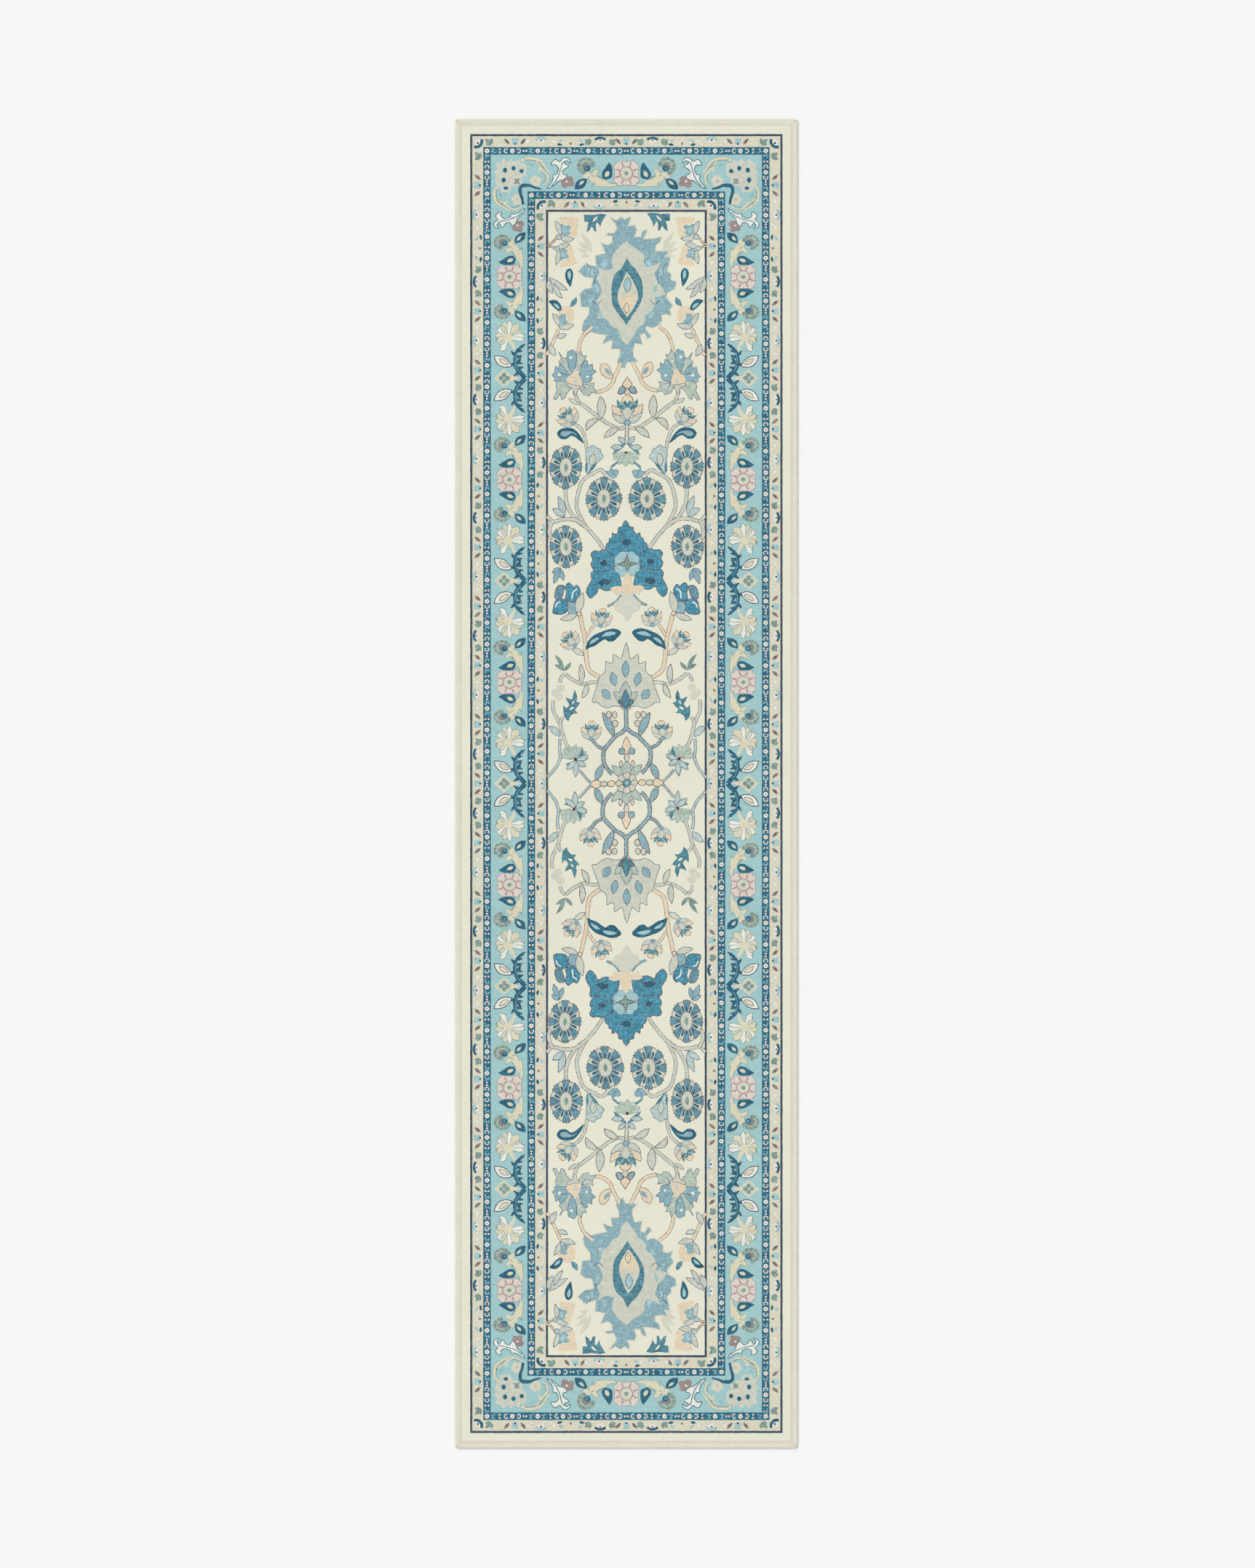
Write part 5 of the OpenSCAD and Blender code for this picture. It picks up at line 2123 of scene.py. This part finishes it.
@dataclass
class Binding:
    """One folded tape along a side of the rug, mitred at both ends, and its seam."""

    side: Side
    node: str
    thread_node: str
    reach: float = 15.0
    radius: float = 6.0
    seam: float = 11.5
    stitch: float = 4.2
    step: float = 9.0
    flat_width: float = 37.0

    def spans(self) -> Point:
        """Half the length of the side, and the distance of the side from the middle."""
        wide, tall = (a / MM for a in CAD_SIZE[1][:2])
        return (tall, wide) if self.side.value[0] else (wide, tall)

    def world(self, u: float, d: float) -> Point:
        """Where a place on the side is.

        Args:
            u: The distance along the side from its middle.
            d: The distance in from the edge.

        Returns:
            The point.
        """
        nx, ny = self.side.value
        out = self.spans()[1] - d
        return -ny * u + nx * out, nx * u + ny * out

    def section(self) -> list[Point]:
        """The folded tape's outline.

        Returns:
            Its points: distance in from the edge, and height.
        """
        low = level_of(self.node, top=False)
        top = level_of(self.node)
        r = self.reach
        seam = self.seam
        return [
            (r, low + 3.9), (r, top - 0.5), (r - 0.5, top - 0.12), (r - 1.4, top),
            (seam + 0.9, top - 0.02), (seam + 0.4, top - 0.22), (seam, top - 0.34),
            (seam - 0.4, top - 0.22), (seam - 1.0, top), (8.0, top + 0.06), (4.6, top + 0.08),
            (2.2, top + 0.02), (0.9, top - 0.2), (0.25, top - 0.8), (0.0, top - 1.7),
            (-0.05, low + 2.4), (0.0, low + 1.2), (0.3, low + 0.5), (1.0, low + 0.08),
            (4.0, low), (8.0, low), (seam - 0.7, low), (seam, low + 0.25), (seam + 0.7, low),
            (r - 0.5, low + 0.02), (r, low + 0.3), (r, low + 0.78), (1.1, low + 0.8),
            (0.8, low + 1.1), (0.8, low + 3.3), (1.1, low + 3.6),
        ]

    def stops(self) -> list[Point]:
        """The rings of the tape.

        Returns:
            For each ring, its distance along from the middle and its share of the end's turn.
        """
        half = self.spans()[0] - self.reach - 1.0
        count = round(2 * half / self.step)
        turns = [0.15, 0.3, 0.45, 0.6, 0.7, 0.8, 0.9, 1.0]
        middle = [(-half + 2 * half * i / count, 0.0) for i in range(count + 1)]
        return [(-half, -t) for t in reversed(turns)] + middle + [(half, t) for t in turns]

    def turned(self, u: float, t: float, d: float) -> Point:
        """A section point's place, with the corner's round and mitre.

        Args:
            u: The distance along of its ring.
            t: The share of the end's turn, less than 0 at the first end.
            d: The distance in from the edge.

        Returns:
            Distance along and distance in.
        """
        half = self.spans()[0]
        sign, share = (-1 if t < 0 else 1), abs(t)
        start = abs(u)
        if share == 0:
            return u, d
        if d >= self.radius:
            return sign * (start + (half - d - start) * share), d
        if share <= 0.6:
            return sign * (start + (half - self.radius - start) * share / 0.6), d
        angle = math.radians(45 * (share - 0.6) / 0.4)
        arm = self.radius - d
        centre = half - self.radius
        return sign * (centre + arm * math.sin(angle)), self.radius - arm * math.cos(angle)

    def tape(self) -> Solid:
        """The folded tape.

        Returns:
            Its skin.
        """
        rng = random.Random(self.node)
        section = self.section()
        rings, along = [], []
        for u, t in self.stops():
            puff = rng.uniform(-0.05, 0.05) if t == 0 else 0.0
            ring = []
            for d, z in section:
                if t == 0 and 2 < d < 9 and z > 3:
                    z += puff
                ring.append((*self.world(*self.turned(u, t, d)), z))
            rings.append(ring)
            along.append(u + t * self.reach)
        solid = Solid()
        solid.sweep(rings, running(section), along)
        return solid

    def seam_stitches(self) -> Solid:
        """Each stitch of the needle thread on the face and the bobbin thread on the back.

        Returns:
            The stitches.
        """
        top, low = level_of(self.node), level_of(self.node, top=False)
        half = self.spans()[0] - self.seam - 0.5
        count = round(2 * half / self.stitch)
        solid = Solid()
        rng = random.Random(self.thread_node)
        for i in range(count):
            start = -half + 2 * half * i / count
            for face, radius, rise in ((top - 0.30, 0.34, 0.34), (low + 0.22, 0.24, -0.26)):
                lean = rng.uniform(-0.12, 0.12)
                rings = []
                for t, lift, share in ((0.04, -0.6, 0.7), (0.28, 0.8, 1), (0.72, 0.8, 1),
                                       (0.96, -0.6, 0.7)):
                    u = start + self.stitch * t
                    ring = []
                    for k in range(5):
                        a = 2 * math.pi * k / 5
                        d = self.seam + lean * (t - 0.5) + radius * share * math.cos(a)
                        z = face + rise * lift + radius * share * math.sin(a)
                        ring.append((*self.world(u, d), z))
                    rings.append(ring)
                girth = [0.4 * k for k in range(6)]
                solid.sweep(rings, girth, [start + self.stitch * t for t in (0, 0.3, 0.7, 1)])
        return solid

    def build(self) -> None:
        """Build the tape and its seam."""
        name = self.node.replace("binding", "tape")
        tape = self.tape().finish(name, TAPE.material(), "binding_tape", [self.node], smooth=50)
        self.seam_stitches().finish(
            self.thread_node.replace("seam_thread", "stitches"), THREAD.material(),
            "seam_thread", [self.thread_node], smooth=60)


@dataclass
class Tacks:
    """The bar tacks that close the mitres: short satin stitches side by side."""

    inset: float = 5.75
    length: float = 9.0
    width: float = 2.6
    threads: int = 13

    def build(self) -> None:
        """Build the four tacks as one piece."""
        solid = Solid()
        wide, tall = (a / MM for a in CAD_SIZE[1][:2])
        base = level_of("binding_head")
        for sx in (-1, 1):
            for sy in (-1, 1):
                middle = Vector((sx * (wide - self.inset), sy * (tall - self.inset)))
                way = Vector((sx, sy)).normalized()
                aside = Vector((-way.y, way.x))
                for i in range(self.threads):
                    spot = middle + way * self.length * (i / (self.threads - 1) - 0.5)
                    rings = []
                    for t in (-1.0, -0.8, -0.4, 0.0, 0.4, 0.8, 1.0):
                        centre = spot + aside * t * self.width / 2
                        lift = 0.5 * (1 - t * t) - 0.15
                        ring = []
                        for k in range(6):
                            a = 2 * math.pi * k / 6
                            out = centre + way * 0.36 * math.cos(a)
                            ring.append((out.x, out.y, base + lift + 0.34 * math.sin(a)))
                        rings.append(ring)
                    solid.sweep(rings, [0.4 * k for k in range(7)], [0.5 * k for k in range(7)])
        solid.finish("mitre_tacks", THREAD.material(), "seam_thread", ["corner_tacks"], 60)


@dataclass
class CareLabel:
    """The blank folded satin label on the back, and the stitches that hold it."""

    ripple: float = 0.10

    def build(self) -> None:
        """Build the label and its thread."""
        low, high = (tuple(c / MM for c in corner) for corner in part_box("care_label"))
        solid = Solid()
        count, across = 22, 10
        rings, along = [], []
        for i in range(count + 1):
            y = low[1] + (high[1] - low[1]) * i / count
            sag = self.ripple * math.sin(i * 0.7) * i / count
            thick = (high[2] - low[2]) * (0.45 if i == count else 1.0)
            ring = []
            for k in range(across + 1):
                x = low[0] + (high[0] - low[0]) * k / across
                ring.append((x, y, high[2] - thick - 0.02 + sag * math.sin(math.pi * k / across)))
            for k in reversed(range(across + 1)):
                x = low[0] + (high[0] - low[0]) * k / across
                ring.append((x, y, high[2] - 0.01))
            rings.append(ring)
            along.append(y)
        wide = high[0] - low[0]
        girth = [wide * k / across for k in range(across + 1)]
        girth += [wide + 1 + wide * k / across for k in range(across + 1)] + [2 * wide + 2]
        solid.sweep(rings, girth, along)
        label = solid.finish("satin_label", SATIN.material(), "label_satin", ["care_label"], 50)
        line = Solid()
        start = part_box("label_thread")[0][0] / MM
        y = (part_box("label_thread")[0][1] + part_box("label_thread")[1][1]) / 2 / MM
        z = low[2] - 0.18
        stitches = 8
        for i in range(stitches):
            first = start + wide * (i + 0.08) / stitches
            rings = []
            for t, lift in ((0.0, 0.22), (0.3, 0.0), (0.7, 0.0), (1.0, 0.22)):
                x = first + wide * 0.84 / stitches * t
                rings.append([(x, y + 0.25 * math.cos(a), z + lift + 0.25 * math.sin(a))
                              for a in (2 * math.pi * k / 6 for k in range(6))])
            line.sweep(rings, [0.4 * k for k in range(7)], [i * 3.0 + t for t in (0, 0.8, 2, 2.8)])
        line.finish("label_stitches", THREAD.material(), "seam_thread", ["label_thread"], 60)


@dataclass
class Pattern:
    """Turns the drawings into thin patches of pile, one piece for each dye."""

    clear: float = 0.06
    step: float = 0.04
    root: float = 0.35
    apart: float = 0.005
    lifts: int = 7
    waver: float = 0.24
    smallest: float = 1.0
    seed: int = 2958

    def strayed(self, loop: Loop, rng: random.Random) -> Loop:
        """A loop as it comes off the loom: off its line by a thread here and there.

        Args:
            loop: The drawn loop.
            rng: The source of the strays.

        Returns:
            The woven loop.
        """
        return [
            (x + rng.uniform(-self.waver, self.waver), y + rng.uniform(-self.waver, self.waver))
            for x, y in loop
        ]

    def build(self, plates: Sequence[Plate]) -> list[bpy.types.Object]:
        """Build all the patches.

        Args:
            plates: The patches, in the rug's own millimetres.

        Returns:
            One piece for each dye that is used.
        """
        rng = random.Random(self.seed)
        top = level_of("field_pile")
        solids: dict[Dye, Solid] = {}
        for i, plate in enumerate(plates):
            solid = solids.setdefault(plate.dye, Solid())
            high = top + self.clear + self.step * plate.level + self.apart * (i % self.lifts)
            loop = untangled(self.strayed(plate.loop, rng))
            if len(loop) > 2 and area(loop) > self.smallest:
                solid.plate(loop, top - self.root, high)
        pieces = []
        for dye in Dye:
            if dye in solids:
                yarn = YARNS[dye]
                pieces.append(solids[dye].finish(
                    f"motifs_{dye.value}", yarn.material(), yarn.slot, outward=False))
        return pieces


@dataclass
class Studio:
    """A pale floor, soft light from the head of the rug, and the camera straight above it."""

    lens: float = 200.0
    sensor: float = 36.0
    frame_height: float = 3.4895
    frame_centre: tuple[float, float] = (0.0025, -0.001)
    floor_size: float = 60.0
    floor_drop: float = 0.0004
    sky: float = 0.66
    softness: float = math.radians(35)

    def floor(self) -> None:
        """Make the floor."""
        bpy.ops.mesh.primitive_plane_add(size=self.floor_size, location=(0.0, 0.0, -self.floor_drop))
        plane = bpy.context.object
        plane.name = "studio_floor"
        material = bpy.data.materials.new("studio_floor")
        material.use_nodes = True
        graph = Graph(material.node_tree)
        shader = material.node_tree.nodes["Principled BSDF"]
        place = material.node_tree.nodes.new("ShaderNodeTexCoord").outputs["Object"]
        clouds = graph.noise(place, (900, 900, 900), 2)
        pale, dim = (0.870, 0.870, 0.872, 1), (0.862, 0.862, 0.864, 1)
        graph.wire(shader.inputs["Base Color"], graph.mix(clouds, pale, dim))
        shader.inputs["Roughness"].default_value = 0.95
        shader.inputs["Specular IOR Level"].default_value = 0.1
        plane.data.materials.append(material)

    def lights(self) -> None:
        """Make the sky light and the two soft lights."""
        world = bpy.data.worlds.new("studio")
        world.use_nodes = True
        back = world.node_tree.nodes["Background"]
        back.inputs["Color"].default_value = (1.0, 1.0, 1.0, 1.0)
        back.inputs["Strength"].default_value = self.sky
        bpy.context.scene.world = world
        for name, spot, power in (
            ("soft_key", (-0.45, 0.95, 1.2), 1.20),
            ("soft_fill", (-0.9, -0.1, 1.3), 0.48),
        ):
            data = bpy.data.lights.new(name, "SUN")
            data.angle = self.softness
            data.energy = power
            lamp = bpy.data.objects.new(name, data)
            lamp.rotation_mode = "QUATERNION"
            lamp.rotation_quaternion = (-Vector(spot)).to_track_quat("-Z", "Y")
            bpy.context.scene.collection.objects.link(lamp)

    def camera(self) -> None:
        """Make the camera, far above the rug with a long lens."""
        data = bpy.data.cameras.new("overhead_camera")
        data.lens = self.lens
        data.sensor_width = self.sensor
        data.clip_start = 0.5
        data.clip_end = 120.0
        camera = bpy.data.objects.new("overhead_camera", data)
        away = self.frame_height * self.lens / self.sensor
        camera.location = (*self.frame_centre, away + CAD_SIZE[1][2])
        bpy.context.scene.collection.objects.link(camera)
        bpy.context.scene.camera = camera

    def build(self) -> None:
        """Build the studio."""
        self.floor()
        self.lights()
        self.camera()
        bpy.context.scene.view_settings.view_transform = "Standard"


def main() -> None:
    """Build the rug from the back up, then the studio."""
    logging.basicConfig(level=logging.INFO, format="%(relativeCreated)6d %(name)s %(message)s")
    bpy.ops.object.select_all(action="DESELECT")
    Studio().build()
    felt, _, weave = Core().build()
    GripBeads().build()
    Tacks().build()
    for side, word in ((Side.LEFT, "left"), (Side.RIGHT, "right"), (Side.HEAD, "head"),
                       (Side.FOOT, "foot")):
        Binding(side, f"binding_{word}", f"seam_thread_{word}").build()
    CareLabel().build()
    sheet, *bands = PileGround().build()
    motifs = Pattern().build(rug_plates())
    wide, tall = half_size("field_pile")
    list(bands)
    for cloth, node, under in ((weave, "ground_weave", "latex_layer"),
                               (felt, "felt_backing", "silicone_beads")):
        wide, tall = half_size(node)


if __name__ == "__main__":
    main()
